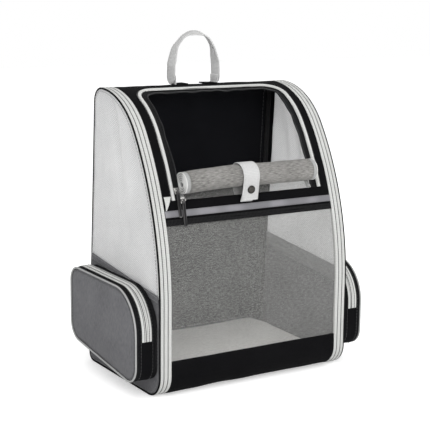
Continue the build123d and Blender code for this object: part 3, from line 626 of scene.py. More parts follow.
# %% Plastic, rubber and metal
def moulded(name, colour, roughness, grain, paler_edge):
    """Moulded plastic or rubber, paler on its edges: wear on plastic, a painted rim highlight on the pulls."""
    material, tree, surface = shader(name, colour, roughness, Specular_IOR_Level=0.2)
    spot = add_node(tree, "TexCoord")
    speck = clouds(tree, spot.outputs["Object"], grain, 3.0)
    haze = clouds(tree, spot.outputs["Object"], 0.012, 2.0)
    edge = add_node(tree, "NewGeometry").outputs["Pointiness"]
    # Paler edges: wear on the plastics, and a painted rim highlight on the dark pulls.
    edge_wear_and_rim_highlight = math_node(tree, "MULTIPLY", spread(tree, edge, 0.52, 0.62), spread(tree, haze, 0.35, 0.6, 0.2, 1.0))
    base = blend_colours(tree, haze, colour, tuple(value * 1.35 for value in colour))
    tree.links.new(blend_colours(tree, edge_wear_and_rim_highlight, base, paler_edge), surface.inputs["Base Color"])
    tree.links.new(spread(tree, haze, 0.3, 0.7, roughness - 0.06, roughness + 0.08), surface.inputs["Roughness"])
    raise_bump(tree, surface, speck, 0.00008)
    return material


def plated(name, colour, roughness):
    """Plated metal with fine scratches and a dull haze."""
    material, tree, surface = shader(name, colour, roughness, Metallic=1.0)
    spot = add_node(tree, "TexCoord")
    scratch = clouds(tree, turned(tree, spot.outputs["Object"], 0.7, (1, 14, 1)), 0.0022, 4.0)
    haze = clouds(tree, spot.outputs["Object"], 0.004, 2.0)
    darker = tuple(value * 0.75 for value in colour)
    tree.links.new(blend_colours(tree, spread(tree, haze, 0.3, 0.7), darker, colour), surface.inputs["Base Color"])
    tree.links.new(spread(tree, scratch, 0.35, 0.65, roughness - 0.08, roughness + 0.14), surface.inputs["Roughness"])
    raise_bump(tree, surface, scratch, 0.00003)
    return material


# %% Tape, threads, coils, painted groove shade, plastics and metals
tape_film = film("reflective tape", (0.095, 0.094, 0.104), (0.19, 0.187, 0.202))
grey_thread = thread_finish("grey thread", (0.16, 0.16, 0.165))
black_thread = thread_finish("black thread", (0.008, 0.008, 0.009))
pale_thread = thread_finish("pale thread", (0.62, 0.62, 0.61))
zip_coil_black = moulded("black zip coil", (0.010, 0.010, 0.011), 0.35, 0.0006, (0.05, 0.05, 0.05))
zip_coil_pale = moulded("pale zip coil", (0.55, 0.55, 0.54), 0.4, 0.0006, (0.7, 0.7, 0.69))
# Dark grey tubes laid in the zip grooves are painted groove shade.
groove_shade_fill = moulded("grey zip groove", (0.075, 0.075, 0.075), 0.7, 0.0006, (0.16, 0.16, 0.16))
black_plastic = moulded("black moulded plastic", (0.012, 0.012, 0.013), 0.42, 0.0008, (0.07, 0.07, 0.072))
grey_board = moulded("grey base board", (0.10, 0.10, 0.10), 0.6, 0.0014, (0.2, 0.2, 0.2))
# The pulls' pale edge colour is a painted rim highlight.
pull_rubber = moulded("dark pull rubber", (0.006, 0.006, 0.0065), 0.6, 0.0007, (0.11, 0.107, 0.107))
bright_metal = plated("bright slider metal", (0.78, 0.77, 0.75), 0.22)
snap_metal = plated("grey snap metal", (0.055, 0.052, 0.048), 0.2)
print(len(bpy.data.materials), "materials")

# %% [markdown]
# ## Flat patterns
#
# A strip is a grid with nearly square faces, so that it bends evenly. A slab is a strip with a
# thickness below its face. Its border edges are bevelled, because sewn edges are never sharp.


# %% Strips and slabs
def strip(x_low, x_high, run_low, run_high, step=0.006):
    """A flat pattern of even squares."""
    bm = bmesh.new()
    width, length = x_high - x_low, run_high - run_low
    across, along = max(1, round(width / step)), max(1, round(length / step))
    bmesh.ops.create_grid(bm, x_segments=across, y_segments=along, size=0.5)
    middle = Vector(((x_low + x_high) / 2, (run_low + run_high) / 2, 0))
    bmesh.ops.scale(bm, vec=(width, length, 1), verts=bm.verts)
    bmesh.ops.translate(bm, vec=middle, verts=bm.verts)
    return bm


def deepen(bm, thickness, edge=0.0):
    """Gives a flat pattern a body below its face, with softened borders."""
    made = bmesh.ops.extrude_face_region(bm, geom=bm.faces[:])["geom"]
    fresh = [item for item in made if isinstance(item, bmesh.types.BMVert)]
    bmesh.ops.translate(bm, vec=(0, 0, -thickness), verts=fresh)
    bmesh.ops.recalc_face_normals(bm, faces=bm.faces)
    if edge:
        rim = [e for e in bm.edges if len(e.link_faces) == 2 and e.calc_face_angle(0) > radians(60)]
        bmesh.ops.bevel(bm, geom=rim, offset=edge, offset_type="OFFSET", affect="EDGES", segments=2, profile=0.5,
                        material=-1)
    return bm


def slab(x_low, x_high, run_low, run_high, top, bottom, step=0.006, edge=0.0004, wave=0.0, seed=1.0):
    """A strip with a body from one height off the outline to another."""
    bm = strip(x_low, x_high, run_low, run_high, step)
    if wave:
        slacken(bm, wave, (0.05, 0.03), seed)
    for vert in bm.verts:
        vert.co.z += top
    return deepen(bm, top - bottom, edge)


# %% [markdown]
# ## The front: kick panel, cross band and reflective tape
#
# A stiff black strip stands under the window, and a black band crosses above it. The band carries
# the reflective tape, and along its lower edge runs the concealed zip of the window. All of them
# are slabs on the outline, and the cloths have the slight waviness that stiffened cloth has.

# %% Front strips
kick = slab(-front_half, front_half, 0.0, run_at(kick_height), 0.0, -cloth_depth, wave=0.0013)
add_piece("kick_panel_cloth", wrap(kick), black_cloth, ["kick_panel"])

band_start = run_at(band_bottom)
band = slab(-front_half, front_half, band_start, run_at(band_top), 0.0, -cloth_depth, step=0.004, wave=0.0007,
            seed=4.0)
add_piece("cross_band_cloth", wrap(band), black_cloth, ["cross_band"])

zip_strip = slab(-face_half + 0.001, face_half - 0.001, band_start + 0.0002, band_start + 0.0085, 0.0010, -0.0003,
                 step=0.002, edge=0.0003)
for vert in zip_strip.verts:
    groove = abs(vert.co.y - band_start - 0.0046)
    if vert.co.z > 0:
        vert.co.z -= 0.0011 * max(0.0, 1 - groove / 0.0015)
add_piece("cross_band_zip", wrap(zip_strip), black_rib)

tape = slab(-face_half + 0.0006, face_half - 0.0006, run_at(tape_bottom), run_at(tape_top), 0.0008, 0.0001,
            step=0.003, edge=0.0002, wave=0.0004, seed=9.0)
add_piece("reflective_tape_film", wrap(tape), tape_film, ["reflective_tape"])

rows = []
for height in (tape_bottom + 0.0007, tape_top - 0.0007):
    y, z = shell(run_at(height), 0.0010)
    rows.append(([Vector((-face_half + 0.002, y, z)), Vector((face_half - 0.002, y, z))], [Vector((0, -1, 0))]))
stitches("reflective_tape_stitches", rows, grey_thread, length=0.0022, gap=0.0012)

# %% [markdown]
# ## The window of fine mesh
#
# The mesh lets about two thirds of the light through. Real holes would need millions of faces, so
# the sheet is one curved grid, and its material is clear between the threads. It is a single
# sheet without thickness, and it is held tight by the zips round it, so it barely waves.

# %% Window
window = strip(-face_half, face_half, run_at(kick_height) - 0.001, band_start + 0.001, step=0.008)
slacken(window, 0.0006, (0.09, 0.06), 2.0)
for vert in window.verts:
    vert.co.z -= 0.0020
window_piece = add_piece("lower_window_sheet", wrap(window), window_mesh, ["lower_window_mesh"], closed=False)

# %% [markdown]
# ## The frame round the top opening
#
# The frame is one black piece with a rounded opening. Its pattern starts as two lines of points,
# one round the opening and one round the outer edge. Bridging them makes the cloth between, and
# subdividing the cross edges gives it enough rows to bend over the top.

# %% The opening's line
opening_foot = run_at(band_top)
opening_head = run_at(arc_end) - top_radius * front_turn + top_radius * asin(
    (opening_top - arc_end + top_radius * sin(front_turn)) / top_radius)
opening_corner = 0.028


def opening_line(outside=0.0):
    """The flat line round the opening, from its left foot over the top to its right foot."""
    half, head, radius = opening_half + outside, opening_head + outside, opening_corner + outside
    points = [(-half, opening_foot, 0), (-half, head, 0), (half, head, 0), (half, opening_foot, 0)]
    return rounded(points, [radius, radius], 0.004)


# %% The frame's inner and outer line
inner = even(opening_line(), 0.006)
corner_start = opening_head - opening_corner
corner_reach = 0.02
outer = []
for point in inner:
    side = -1 if point.x < 0 else 1
    above = max(0.0, point.y - corner_start) / opening_corner
    beside = max(0.0, abs(point.x) - (opening_half - opening_corner)) / opening_corner
    x, run = front_half, apex_run
    if above <= 0:
        share = (point.y - opening_foot) / (corner_start - opening_foot)
        run = opening_foot + share * (apex_run - corner_reach - opening_foot)
    elif beside <= 0:
        x = abs(point.x) / (opening_half - opening_corner) * (face_half - corner_reach)
    else:
        past = atan2(above, beside) / (pi / 4)
        if past < 1:
            run = apex_run - corner_reach * (1 - past)
        else:
            x = face_half - corner_reach * (past - 1)
    outer.append(Vector((side * x, run, 0)))

# %% Bridge the two lines
frame_cloth = bmesh.new()
lines_made = []
for line in (inner, outer):
    verts = [frame_cloth.verts.new(point) for point in line]
    lines_made += [frame_cloth.edges.new(pair) for pair in zip(verts, verts[1:])]
bmesh.ops.bridge_loops(frame_cloth, edges=lines_made)
cross = [edge for edge in frame_cloth.edges if edge not in lines_made]
bmesh.ops.subdivide_edges(frame_cloth, edges=cross, cuts=4, use_grid_fill=True)
slacken(frame_cloth, 0.0013, (0.045, 0.03), 6.0)
deepen(frame_cloth, cloth_depth, 0.0004)
add_piece("upper_frame_cloth", wrap(frame_cloth), black_cloth, ["upper_frame"])

# %% [markdown]
# ## Piping and zip tape of the opening
#
# A pale piping goes round the opening on the cloth's face, and inside it lies the black zip tape
# with its coil. Both are swept along the opening's flat line first and wrapped afterwards, so
# they bend over the top with the frame. A little noise on the tape's free edge makes it wavy, as
# a zip is when it is open.


# %% Opening trim
def flat_sweep(section, points):
    """A sweep in the flat, with its faces turned to the outside of the cloth."""
    return sweep(section, places_along(points, Vector((0, 0, 1))))


trim = even(opening_line(0.0026), 0.005)
piping = flat_sweep([(-0.0027, -0.0006), (-0.0023, 0.0010), (-0.0010, 0.0020), (0.0010, 0.0020), (0.0023, 0.0014),
                     (0.0028, -0.0006)], trim)
add_piece("opening_piping_cloth", lay(piping), pale_cloth, ["opening_piping"])

tape_wide = 0.0104
tape_half = tape_wide / 2
trim = even(opening_line(-tape_half), 0.004)
edge_tape = flat_sweep([(-tape_half, -0.0024), (-tape_half, -0.0018), (0.0, -0.0016), (tape_half, -0.0018),
                        (tape_half, -0.0024), (0.0, -0.0024)], trim)


def tape_wave(bm):
    """Makes the free edge of the opened zip wavy."""
    for vert in bm.verts:
        if vert.co.y < corner_start:
            inward = opening_half - abs(vert.co.x)
        else:
            inward = min(opening_half - abs(vert.co.x), opening_head - vert.co.y)
        free = max(0.0, min(1.0, inward / tape_wide))
        vert.co.z += 0.0030 * free * noise.noise(Vector((vert.co.x * 50, vert.co.y * 50, 3.0)))
    return bm


add_piece("opening_zip_tape_cloth", lay(tape_wave(edge_tape)), black_rib, ["opening_zip_tape"])

trim = even(opening_line(-tape_wide + 0.0012), 0.004)
teeth = tape_wave(coil(trim, [Vector((0, 0, 1))], 0.0012))
bmesh.ops.translate(teeth, vec=(0, 0, -0.0012), verts=teeth.verts)
add_piece("opening_zip_coil", lay(teeth), zip_coil_black, closed=False)

trim = even(opening_line(0.0066), 0.004)
stitches("opening_stitches", [on_outline([point.xy for point in trim], 0.0003)], black_thread)

# %% [markdown]
# ## Zip bands and edge piping
#
# At both sides a pale band runs from under the front over the top. It is a concealed zip: two
# narrow grooves lie along it, and its cloth is ribbed. A dark grey tube lies in each groove as
# painted groove shade. Its section is drawn once and swept.
# A thin black piping closes the edge to the side panel and goes round the whole outline.

# %% Zip bands
band_section = [(0.0, 0.0), (0.0008, 0.0005), (0.0030, 0.0006), (0.0046, 0.0001), (0.0054, -0.0012), (0.0062, 0.0001),
                (0.0085, 0.0007), (0.0110, 0.0001), (0.0118, -0.0012), (0.0126, 0.0001), (0.0145, 0.0009),
                (0.0164, 0.0005), (0.0170, -0.0002), (0.0170, -0.0036), (0.0085, -0.0038), (0.0, -0.0036)]
for side, name in both_sides:
    points, facing = outline_path(side * face_half, 0.0, apex_run, step=0.005)
    places = places_along(points, facing)
    section = [(side * across_sign(places) * across, out) for across, out in band_section]
    add_piece("zip_band_cloth_" + name, sweep(section, places), zip_cloth, ["zip_band_" + name])
    # Dark grey tubes in the two grooves: painted groove shade.
    for offset in (0.0054, 0.0118):
        points, facing = outline_path(side * (face_half + offset), 0.0, apex_run, out=-0.0004, step=0.004)
        add_piece("zip_band_groove_%s_%d" % (name, offset * 1e4), coil(points, facing, 0.0008, 0.0030), groove_shade_fill,
                  closed=False)


# %% Edge piping
def closed_outline(x, out=0.0, step=0.005):
    """The whole outline at one X, with its straight line under the base."""
    points, facing = outline_path(x, 0.0, back_end, out, step)
    foot, heel = points[0], points[-1]
    count = round((heel - foot).length / (2 * step))
    for k in range(1, count):
        points.append(heel.lerp(foot, k / count))
        facing.append(Vector((0, 0, -1)))
    return points, facing


edge_rope = bmesh.new()
for side in (-1, 1):
    points, facing = closed_outline(side * (half_width - 0.0012), -0.0009)
    ring = sweep(round_section(0.00135, 8), places_round(points, facing), loop=True)
    mesh = bpy.data.meshes.new("ring")
    ring.to_mesh(mesh)
    ring.free()
    edge_rope.from_mesh(mesh)
    bpy.data.meshes.remove(mesh)
add_piece("edge_piping_cloth", edge_rope, black_cloth, ["edge_piping"])

# %% [markdown]
# ## The back and the base
#
# The back panel goes on from the apex down to the foot, and the base panel closes the underside.
# Inside, the board of the back is covered with black lining, whose stitched border shows through
# the window. Two sleeves behind the zip bands hold the spring stays that keep the arch up.

# %% Back, base, lining and sleeves
back_half = wrap_half - cut_gap
back = slab(-back_half, back_half, apex_run, back_end - 0.001, 0.0, -cloth_depth, step=0.008, wave=0.0012, seed=12.0)
add_piece("back_panel_cloth", wrap(back), black_cloth, ["back_panel"])

base = strip(-back_half, back_half, front_y + foot_radius, shell(back_end)[0] - 0.006, 0.01)
slacken(base, 0.0008, (0.05, 0.05), 14.0)
for vert in base.verts:
    vert.co.z = abs(vert.co.z) + 0.0002 + wall - 0.0006
deepen(base, wall - 0.0010, 0.0004)
keep_flat_map(base)
add_piece("base_panel_cloth", base, black_cloth, ["base_panel"])

lining_half, lining_seam, lining_face = 0.139, 0.134, -0.0066
lining = slab(-lining_half, lining_half, apex_run + 0.003, back_run_at(0.018), -0.0046, -0.0062, step=0.008,
              wave=0.0008, seed=21.0)
add_piece("back_lining_cloth", wrap(lining), lining_cloth, ["back_board"])

rows = []
top_run, foot_run = apex_run + 0.012, back_run_at(0.030)
for x in (-lining_seam, lining_seam):
    points, facing = outline_path(x, top_run, foot_run, out=lining_face, step=0.006)
    rows.append((points, [-way for way in facing]))
for run in (top_run, foot_run):
    points, facing = on_outline([(-lining_seam, run), (lining_seam, run)], lining_face)
    rows.append((points, [-way for way in facing]))
stitches("back_lining_stitches", rows, black_thread, radius=0.0004, length=0.004, gap=0.002)

for side, name in both_sides:
    low, high = sorted((side * 0.1416, side * 0.1500))
    sleeve = slab(low, high, run_at(kick_height), foot_run, -0.0045, -0.0053, step=0.004, edge=0.0002)
    nodes = ["arch_stays"] if side < 0 else []
    add_piece("stay_sleeve_" + name, wrap(sleeve), black_webbing, nodes)

# %% [markdown]
# ## Side panels
#
# Each side is pale mesh above and dark grey melange below, and the seam between them slants. The
# outline is convex, so a grid is cut to it with one straight cut for each short piece of the
# outline, which keeps the even squares inside for the soft waves. One more cut at the seam leaves
# the cloth above it or the cloth below it.


# %% Cut a grid to a convex outline
def cut_off(bm, y, z, normal):
    """Cuts a grid through a point and drops the side that the normal points to."""
    bmesh.ops.bisect_plane(bm, geom=bm.verts[:] + bm.edges[:] + bm.faces[:], dist=1e-5, plane_co=Vector((0, y, z)),
                           plane_no=normal, clear_outer=True)


def cut_convex(bm, border):
    """Trims a grid in the Y-Z plane to a convex line of (y, z) points."""
    middle_y = sum(y for y, z in border) / len(border)
    middle_z = sum(z for y, z in border) / len(border)
    for (y1, z1), (y2, z2) in zip(border, border[1:] + border[:1]):
        if hypot(y2 - y1, z2 - z1) < 1e-5:
            continue
        normal = Vector((0, z2 - z1, y1 - y2)).normalized()
        if normal.dot(Vector((0, (y1 + y2) / 2 - middle_y, (z1 + z2) / 2 - middle_z))) < 0:
            normal = -normal
        cut_off(bm, y1, z1, normal)


def from_border(spot, border):
    """The distance of an upright piece's point from the piece's outline."""
    return min(hypot(spot.y - y, spot.z - z) for y, z in border)


# %% Upright grids
def side_grid(x, y_low, y_high, z_low, z_high, step=0.005):
    """An upright grid at one X."""
    bm = bmesh.new()
    along, up = round((y_high - y_low) / step), round((z_high - z_low) / step)
    bmesh.ops.create_grid(bm, x_segments=along, y_segments=up, size=0.5)
    for vert in bm.verts:
        y = (y_low + y_high) / 2 + vert.co.x * (y_high - y_low)
        z = (z_low + z_high) / 2 + vert.co.y * (z_high - z_low)
        vert.co = (x, y, z)
    return bm


def map_side(bm):
    """The map of an upright piece: its Y and Z."""
    layer = bm.loops.layers.uv.verify()
    for face in bm.faces:
        for loop in face.loops:
            loop[layer].uv = (loop.vert.co.y, loop.vert.co.z)


def face_outwards(bm, side):
    """Turns the faces of an open upright piece to the outside of its side."""
    bmesh.ops.recalc_face_normals(bm, faces=bm.faces)
    if sum(face.normal.x for face in bm.faces) * side < 0:
        bmesh.ops.reverse_faces(bm, faces=bm.faces)


# %% Cut and fold a side cloth
seam_front, seam_back = 0.143, 0.167
seam_rise = (seam_back - seam_front) / (back_foot_y - front_y)
side_border = [(point.y, point.z) for point in closed_outline(0.0, -0.0019, 0.008)[0]]
side_folds = [(-0.0580, -0.0034, 0.007), (-0.0300, 0.0026, 0.008), (-0.0115, -0.0042, 0.007), (0.0100, 0.0022, 0.008)]


def side_cloth(name, side, above, material, node):
    """One cloth of a side panel, above or below the slanting seam.

    Soft folds hang from the arch. They lean with the front edge and fade out downwards and
    towards the sewn outline. Each is a (place, height, width).
    """
    bm = side_grid(half_width, front_y - 0.01, back_foot_y + 0.01, -0.01, body_height + 0.01)
    cut_convex(bm, side_border)
    cut_off(bm, front_y, seam_front, Vector((0, seam_rise, -1)).normalized() * (1 if above else -1))
    cut_area = sum(face.calc_area() for face in bm.faces)
    for vert in bm.verts:
        y, z = vert.co.y, vert.co.z
        wave = noise.noise(Vector((y * 9, z * 7, 5.0 + side)))
        lean = 0.45 * max(0.0, z - 0.2) ** 1.5
        fade = min(1.0, max(0.0, (z - 0.19) / 0.14)) * min(1.0, from_border(vert.co, side_border) / 0.022)
        crease = 0.0030 * noise.noise(Vector(((y - lean) * 36, z * 3.5, 8.0 + side)))
        for place, height, width in side_folds:
            crease += height * exp(-((y - lean - place) / width) ** 2)
        vert.co.x = half_width - 0.0010 + 0.0011 * wave + fade * crease
    map_side(bm)
    if side < 0:
        bmesh.ops.scale(bm, vec=(-1, 1, 1), verts=bm.verts)
    face_outwards(bm, side)
    piece = add_piece(name, bm, material, [node], closed=False)
    thicken(piece, 0.0012)


# %% Side panels, their seam tapes and stitches
def seam_line_at(x, height, places):
    """Points along the slanting seam, at one X and a height off it."""
    return [Vector((x, y, seam_front + height + (y - front_y) * seam_rise)) for y in places]


seam_end = back_foot_y - 0.013
for side, name in both_sides:
    side_cloth("side_mesh_cloth_" + name, side, True, pale_mesh, "side_mesh_" + name)
    side_cloth("side_lower_cloth_" + name, side, False, grey_cloth, "side_lower_" + name)
    for tape_name, face, off, width, height, finish in (
        ("outer_seam_tape_", 1, 0.0006, 0.010, 0.0, grey_cloth),
        ("inner_seam_tape_", -1, -0.0036, 0.024, -0.006, seam_cloth),
    ):
        line = seam_line_at(side * (half_width + off), height, (front_y + 0.003, -0.06, 0.0, 0.06, seam_end))
        bend = places_along(even(line, 0.006), Vector((face * side, 0, 0)))
        add_piece(tape_name + name, sweep(flat_section(width, 0.0008), bend), finish)
    lines = [seam_line_at(side * (half_width + 0.0012), height, (front_y + 0.004, seam_end))
             for height in (0.0028, -0.0028)]
    lines.append(closed_outline(side * (half_width + 0.0004), -0.0048, 0.006)[0])
    rows = [(line, [Vector((side, 0, 0))]) for line in lines]
    stitches("side_stitches_" + name, rows, grey_thread, length=0.003, gap=0.0018)

# %% [markdown]
# ## The rolled flap
#
# The opening's own mesh flap is rolled down and rests on the cross band. It starts as a flat strip
# like the rest, but its outline is another chain of runs and arcs: straight up from the band, then
# nine half turns whose radius shrinks each time. Negative radii turn it forwards. Its ends show
# the turns as nested loops of pale zip tape, so a real spiral is worth its faces here.

# %% The spiral outline
roll_height, roll_off = 0.298, 0.008
roll_climb = roll_height - upright_front
roll_y = arc_centre_y - roll_off * cos(asin(roll_climb / front_radius)) - sqrt(front_radius ** 2 - roll_climb ** 2)
roll_z = roll_height + roll_off * roll_climb / front_radius
roll_half, roll_first, roll_step, roll_turns = 0.104, 0.0163, 0.0015, 9


def front_at(height, inset=0.0):
    """The front face's Y at a height."""
    if height <= upright_front:
        return front_y + inset
    return arc_centre_y - sqrt((front_radius - inset) ** 2 - (height - upright_front) ** 2)


def roll_track(foot_y, foot_z, radii, last_turn=pi, tail=0.0):
    """A track that goes straight up to the roll and then winds round it."""
    reach = hypot(foot_y - roll_y, foot_z - roll_z)
    touch = atan2(foot_z - roll_z, foot_y - roll_y) + acos(radii[0] / reach)
    touch_y, touch_z = roll_y + radii[0] * cos(touch), roll_z + radii[0] * sin(touch)
    legs = [(hypot(touch_y - foot_y, touch_z - foot_z), None)]
    turns = [pi] * (len(radii) - 1) + [last_turn if len(radii) > 1 else last_turn - touch]
    legs += [(radius * turn, -radius) for radius, turn in zip(radii, turns)]
    if tail:
        legs.append((tail, None))
    heading = atan2(touch_z - foot_z, -(touch_y - foot_y))
    return track((foot_y, foot_z), heading, legs), legs


spiral_radii = [roll_first - k * roll_step for k in range(roll_turns)]
spiral, spiral_legs = roll_track(front_at(band_top, wall / 2), band_top, spiral_radii)
apron_run = spiral_legs[0][0]
spiral_run = sum(length for length, radius in spiral_legs)
print("flap", round(spiral_run, 4), "m long, roll centre", round(roll_y, 4), round(roll_z, 4))


# %% Roll, apron and end tapes
def sag(bm):
    """Moves the whole roll a little along its length, all layers together."""
    for vert in bm.verts:
        share = max(0.0, min(1.0, (vert.co.z - band_top - 0.004) / 0.012))
        droop = max(0.0, (-vert.co.x - 0.020) / 0.090) ** 1.4
        vert.co.z += share * (0.0011 * noise.noise(Vector((vert.co.x * 16, 0, 7.0))) - 0.0006 - 0.0042 * droop)
        vert.co.y += share * 0.0009 * noise.noise(Vector((vert.co.x * 22, 0, 17.0)))
    return bm


roll = strip(-roll_half, roll_half, apron_run - 0.006, spiral_run, step=0.0042)
slacken(roll, 0.0005, (0.02, 0.012), 31.0)
roll_piece = add_piece("flap_roll_cloth", sag(wrap(roll, spiral)), roll_cloth, ["flap_roll"], closed=False)
thicken(roll_piece, 0.0018, 0.0)

apron = strip(-roll_half, roll_half, -0.0015, apron_run, step=0.005)
for vert in apron.verts:
    vert.co.z += 0.0004
apron_piece = add_piece("flap_apron_cloth", sag(wrap(apron, spiral)), window_mesh, closed=False)

for side, name in both_sides:
    low, high = sorted((side * roll_half, side * 0.1102))
    wound = strip(low, high, 0.0, spiral_run, step=0.0034)
    nodes = ["flap_zip_tape"] if side < 0 else []
    wound_piece = add_piece("flap_zip_tape_" + name, sag(wrap(wound, spiral)), pocket_trim, nodes, closed=False)
    thicken(wound_piece, 0.0010, 0.0)
    points, facing = outline_path(side * 0.1103, 0.0, spiral_run, step=0.002, path=spiral)
    add_piece("flap_zip_coil_" + name, sag(coil(points, facing, 0.0009, 0.002)), zip_coil_pale, closed=False)

# %% Loose end of the flap's tape
corner_low, corner_high, corner_left = run_at(0.2625), run_at(0.2805), -0.1385
tape_corner = strip(corner_left, -0.1270, corner_low, corner_high, step=0.003)
for vert in tape_corner.verts:
    rise = (vert.co.y - corner_low) / (corner_high - corner_low)
    vert.co.x = corner_left + (vert.co.x - corner_left) * (0.12 + 0.88 * rise)
    vert.co.z = 0.0011 + 0.0016 * sin(pi * rise) + 0.0008 * noise.noise(Vector((vert.co.x * 90, rise * 2, 1.0)))
deepen(tape_corner, 0.0008, 0.0002)
add_piece("flap_tape_corner", wrap(tape_corner), zip_cloth)

# %% [markdown]
# ## Webbing strap, snap and tab
#
# A short strap of pale webbing comes from behind the roll, over it and down the front, where a
# metal snap holds it to a tab that rises from the cross band. The strap's outline is the same
# kind of chain, one layer further out, and its section is a flat strip with rolled edges.

# %% Strap and tab
webbing_thick, strap_x, strap_width = 0.0016, -0.006, 0.027
touch_gap, roll_cover, strap_foot, strap_low = 0.0003, 0.0012, 0.262, 0.268
strap_radius = roll_first + roll_cover + touch_gap + webbing_thick / 2
leave = radians(188)
strap_run, strap_legs = roll_track(front_at(strap_foot, wall) + webbing_thick / 2 + touch_gap, strap_foot,
                                   [strap_radius], leave,
                                   tail=(roll_z + strap_radius * sin(leave) - strap_low) / cos(leave - pi))
strap_end = sum(length for length, radius in strap_legs)
strap_top = strap_legs[0][0] + strap_legs[1][0] - strap_radius * (leave - pi / 2)
for name, start, end, node, body in (
    ("flap_strap_root_webbing", 0.0, strap_top, "flap_strap_root", "shell"),
    ("flap_strap_webbing", strap_top, strap_end, "flap_strap", "flap_strap"),
):
    points, facing = outline_path(strap_x, start, end, step=0.0024, path=strap_run)
    ribbon = sweep(flat_section(strap_width - 0.0004, webbing_thick), places_along(points, facing))
    add_piece(name, ribbon, pale_webbing, [node], body=body)

rows = []
strap_face = -webbing_thick / 2 - 0.0001
for x in (-0.0112, 0.0112):
    points, facing = outline_path(strap_x + x, strap_top + 0.002, strap_end - 0.002, out=strap_face, step=0.003,
                                  path=strap_run)
    rows.append((points, [-way for way in facing]))
y, z = strap_run(strap_end - 0.004, strap_face)
rows.append(([Vector((strap_x + x, y, z)) for x in (-0.011, 0.011)], [Vector((0, -1, 0))]))
stitches("flap_strap_stitches", rows, pale_thread, radius=0.00028, length=0.0024, body="flap_strap")

tab_thick, tab_top = 0.0012, 0.289
tab_reach = roll_first + roll_cover + tab_thick
tab_head = Vector((strap_x, roll_y - sqrt(tab_reach ** 2 - (roll_z - tab_top) ** 2), tab_top))
tab_foot = Vector((strap_x, front_at(strap_foot) + wall / 2, strap_foot))
points = even([tab_foot, tab_head], 0.002)
ribbon = sweep(flat_section(0.0208, tab_thick), places_along(points, Vector((0, -1, 0.3))))
add_piece("snap_tab_webbing", ribbon, pale_webbing, ["snap_tab"])

# %% [markdown]
# ## Carry handle
#
# The handle is one thick webbing in a tall arch. The webbing twists a little along its way: it
# turns away from the front at the left shoulder, and towards the front on top and at the right. It
# folds forwards and back on its two sewn tabs, so it rides on its own body.

# %% The handle's arch and twist
handle_x, handle_y, handle_pivot = -0.004, 0.066, 0.4331
handle_points = [(-0.039, 0.4206), (-0.0386, 0.449), (-0.0325, 0.476), (-0.0185, 0.4915), (-0.002, 0.4962),
                 (0.012, 0.4958), (0.0245, 0.489), (0.0335, 0.475), (0.0384, 0.452), (0.039, 0.4206)]
handle_twist = [(0.0, 0.0), (0.16, 0.0), (0.36, 0.24), (0.52, -0.20), (0.68, -0.30), (0.86, 0.0), (1.0, 0.0)]
path = even(rounded([(x, 0, z) for x, z in handle_points], [0.02] * (len(handle_points) - 2), 0.003), 0.0024)
facing = []
for k, point in enumerate(path):
    along = k / (len(path) - 1)
    before, after = next(pair for pair in zip(handle_twist, handle_twist[1:]) if along <= pair[1][0] + 1e-9)
    step = (along - before[0]) / (after[0] - before[0])
    twist = before[1] + (after[1] - before[1]) * step * step * (3 - 2 * step)
    out = Vector((point.x, 0, max(0.0, point.z - 0.452))).normalized()
    facing.append(Vector((out.x, twist, out.z)).normalized())
path = [Vector((handle_x + point.x, handle_y, point.z)) for point in path]
handle_places = places_along(path, facing)
print("handle", len(path), "points, top at", round(max(point.z for point in path), 4))

# %% Handle webbing and its stitches
end_radius = 0.0125
loop_webbing = sweep(flat_section(0.0246, 0.0021), handle_places)
for vert in loop_webbing.verts:
    lift = max(0.0, (vert.co.z - handle_pivot) / 0.065)
    sway = noise.noise(Vector((vert.co.x * 14, vert.co.y * 10, vert.co.z * 14)))
    vert.co.x += 0.0016 * lift * sway
    vert.co.y += 0.0012 * lift * noise.noise(Vector((vert.co.x * 9, 4.0, vert.co.z * 9)))
    below = handle_pivot - vert.co.z
    if below > 0:
        reach = sqrt(max(0.0, end_radius ** 2 - below ** 2)) / end_radius
        vert.co.y = handle_y + (vert.co.y - handle_y) * max(reach, 0.05)
add_piece("carry_handle_webbing", loop_webbing, pale_webbing, ["carry_handle"], body="carry_handle")

rows = []
for offset in (-0.0098, 0.0098):
    line = [matrix @ Vector((offset, 0.0014, 0)) for matrix in handle_places[4:-4]]
    rows.append((line, [matrix.to_3x3() @ Vector((0, 1, 0)) for matrix in handle_places[4:-4]]))
stitches("carry_handle_stitches", rows, pale_thread, radius=0.0003, length=0.003, body="carry_handle")

# %% Handle tabs
tab_x, tab_foot_x = 0.0364, 0.0154
for side, name in both_sides:
    line = [Vector((side * x, 0, body_height + rise)) for x, rise in
            ((tab_x, 0.0138), (tab_x, 0.0006), (tab_foot_x, 0.0012))]
    line = [Vector((handle_x, handle_y, 0)) + point for point in even(rounded(line, [0.002], 0.0007), 0.0016)]
    parting = next(k for k, point in enumerate(line) if point.z < body_height + 0.0018)
    for part, points, finish in (("tab", line[:parting + 1], pale_webbing), ("foot", line[parting:], black_cloth)):
        bend = sweep(flat_section(0.0214, 0.0019), places_along(points, Vector((side, 0, 1))))
        for vert in bend.verts:
            vert.co.z = max(vert.co.z, body_height - 0.0006 - 0.5 * (vert.co.y - handle_y) ** 2 / top_radius)
        nodes = ["handle_tabs"] if side < 0 and part == "tab" else []
        add_piece("handle_%s_%s" % (part, name), bend, finish, nodes)

# %% [markdown]
# ## Side pockets
#
# A pocket is a boxed pouch: a padded face, a black gusset, a grooved zip band along the middle of
# the gusset and pale piping round the face. Its outline has a sloping floor and one very large
# corner. The face is a grid that is cut to this outline and bulges by its distance to the border.

# %% Pocket outline
pocket_front, pocket_back, pocket_top = -0.105, 0.103, 0.155
pocket_low_front, pocket_low_back = 0.022, 0.046
pocket_radii = [0.026, 0.060, 0.024, 0.028]
pocket_rim = 0.0316


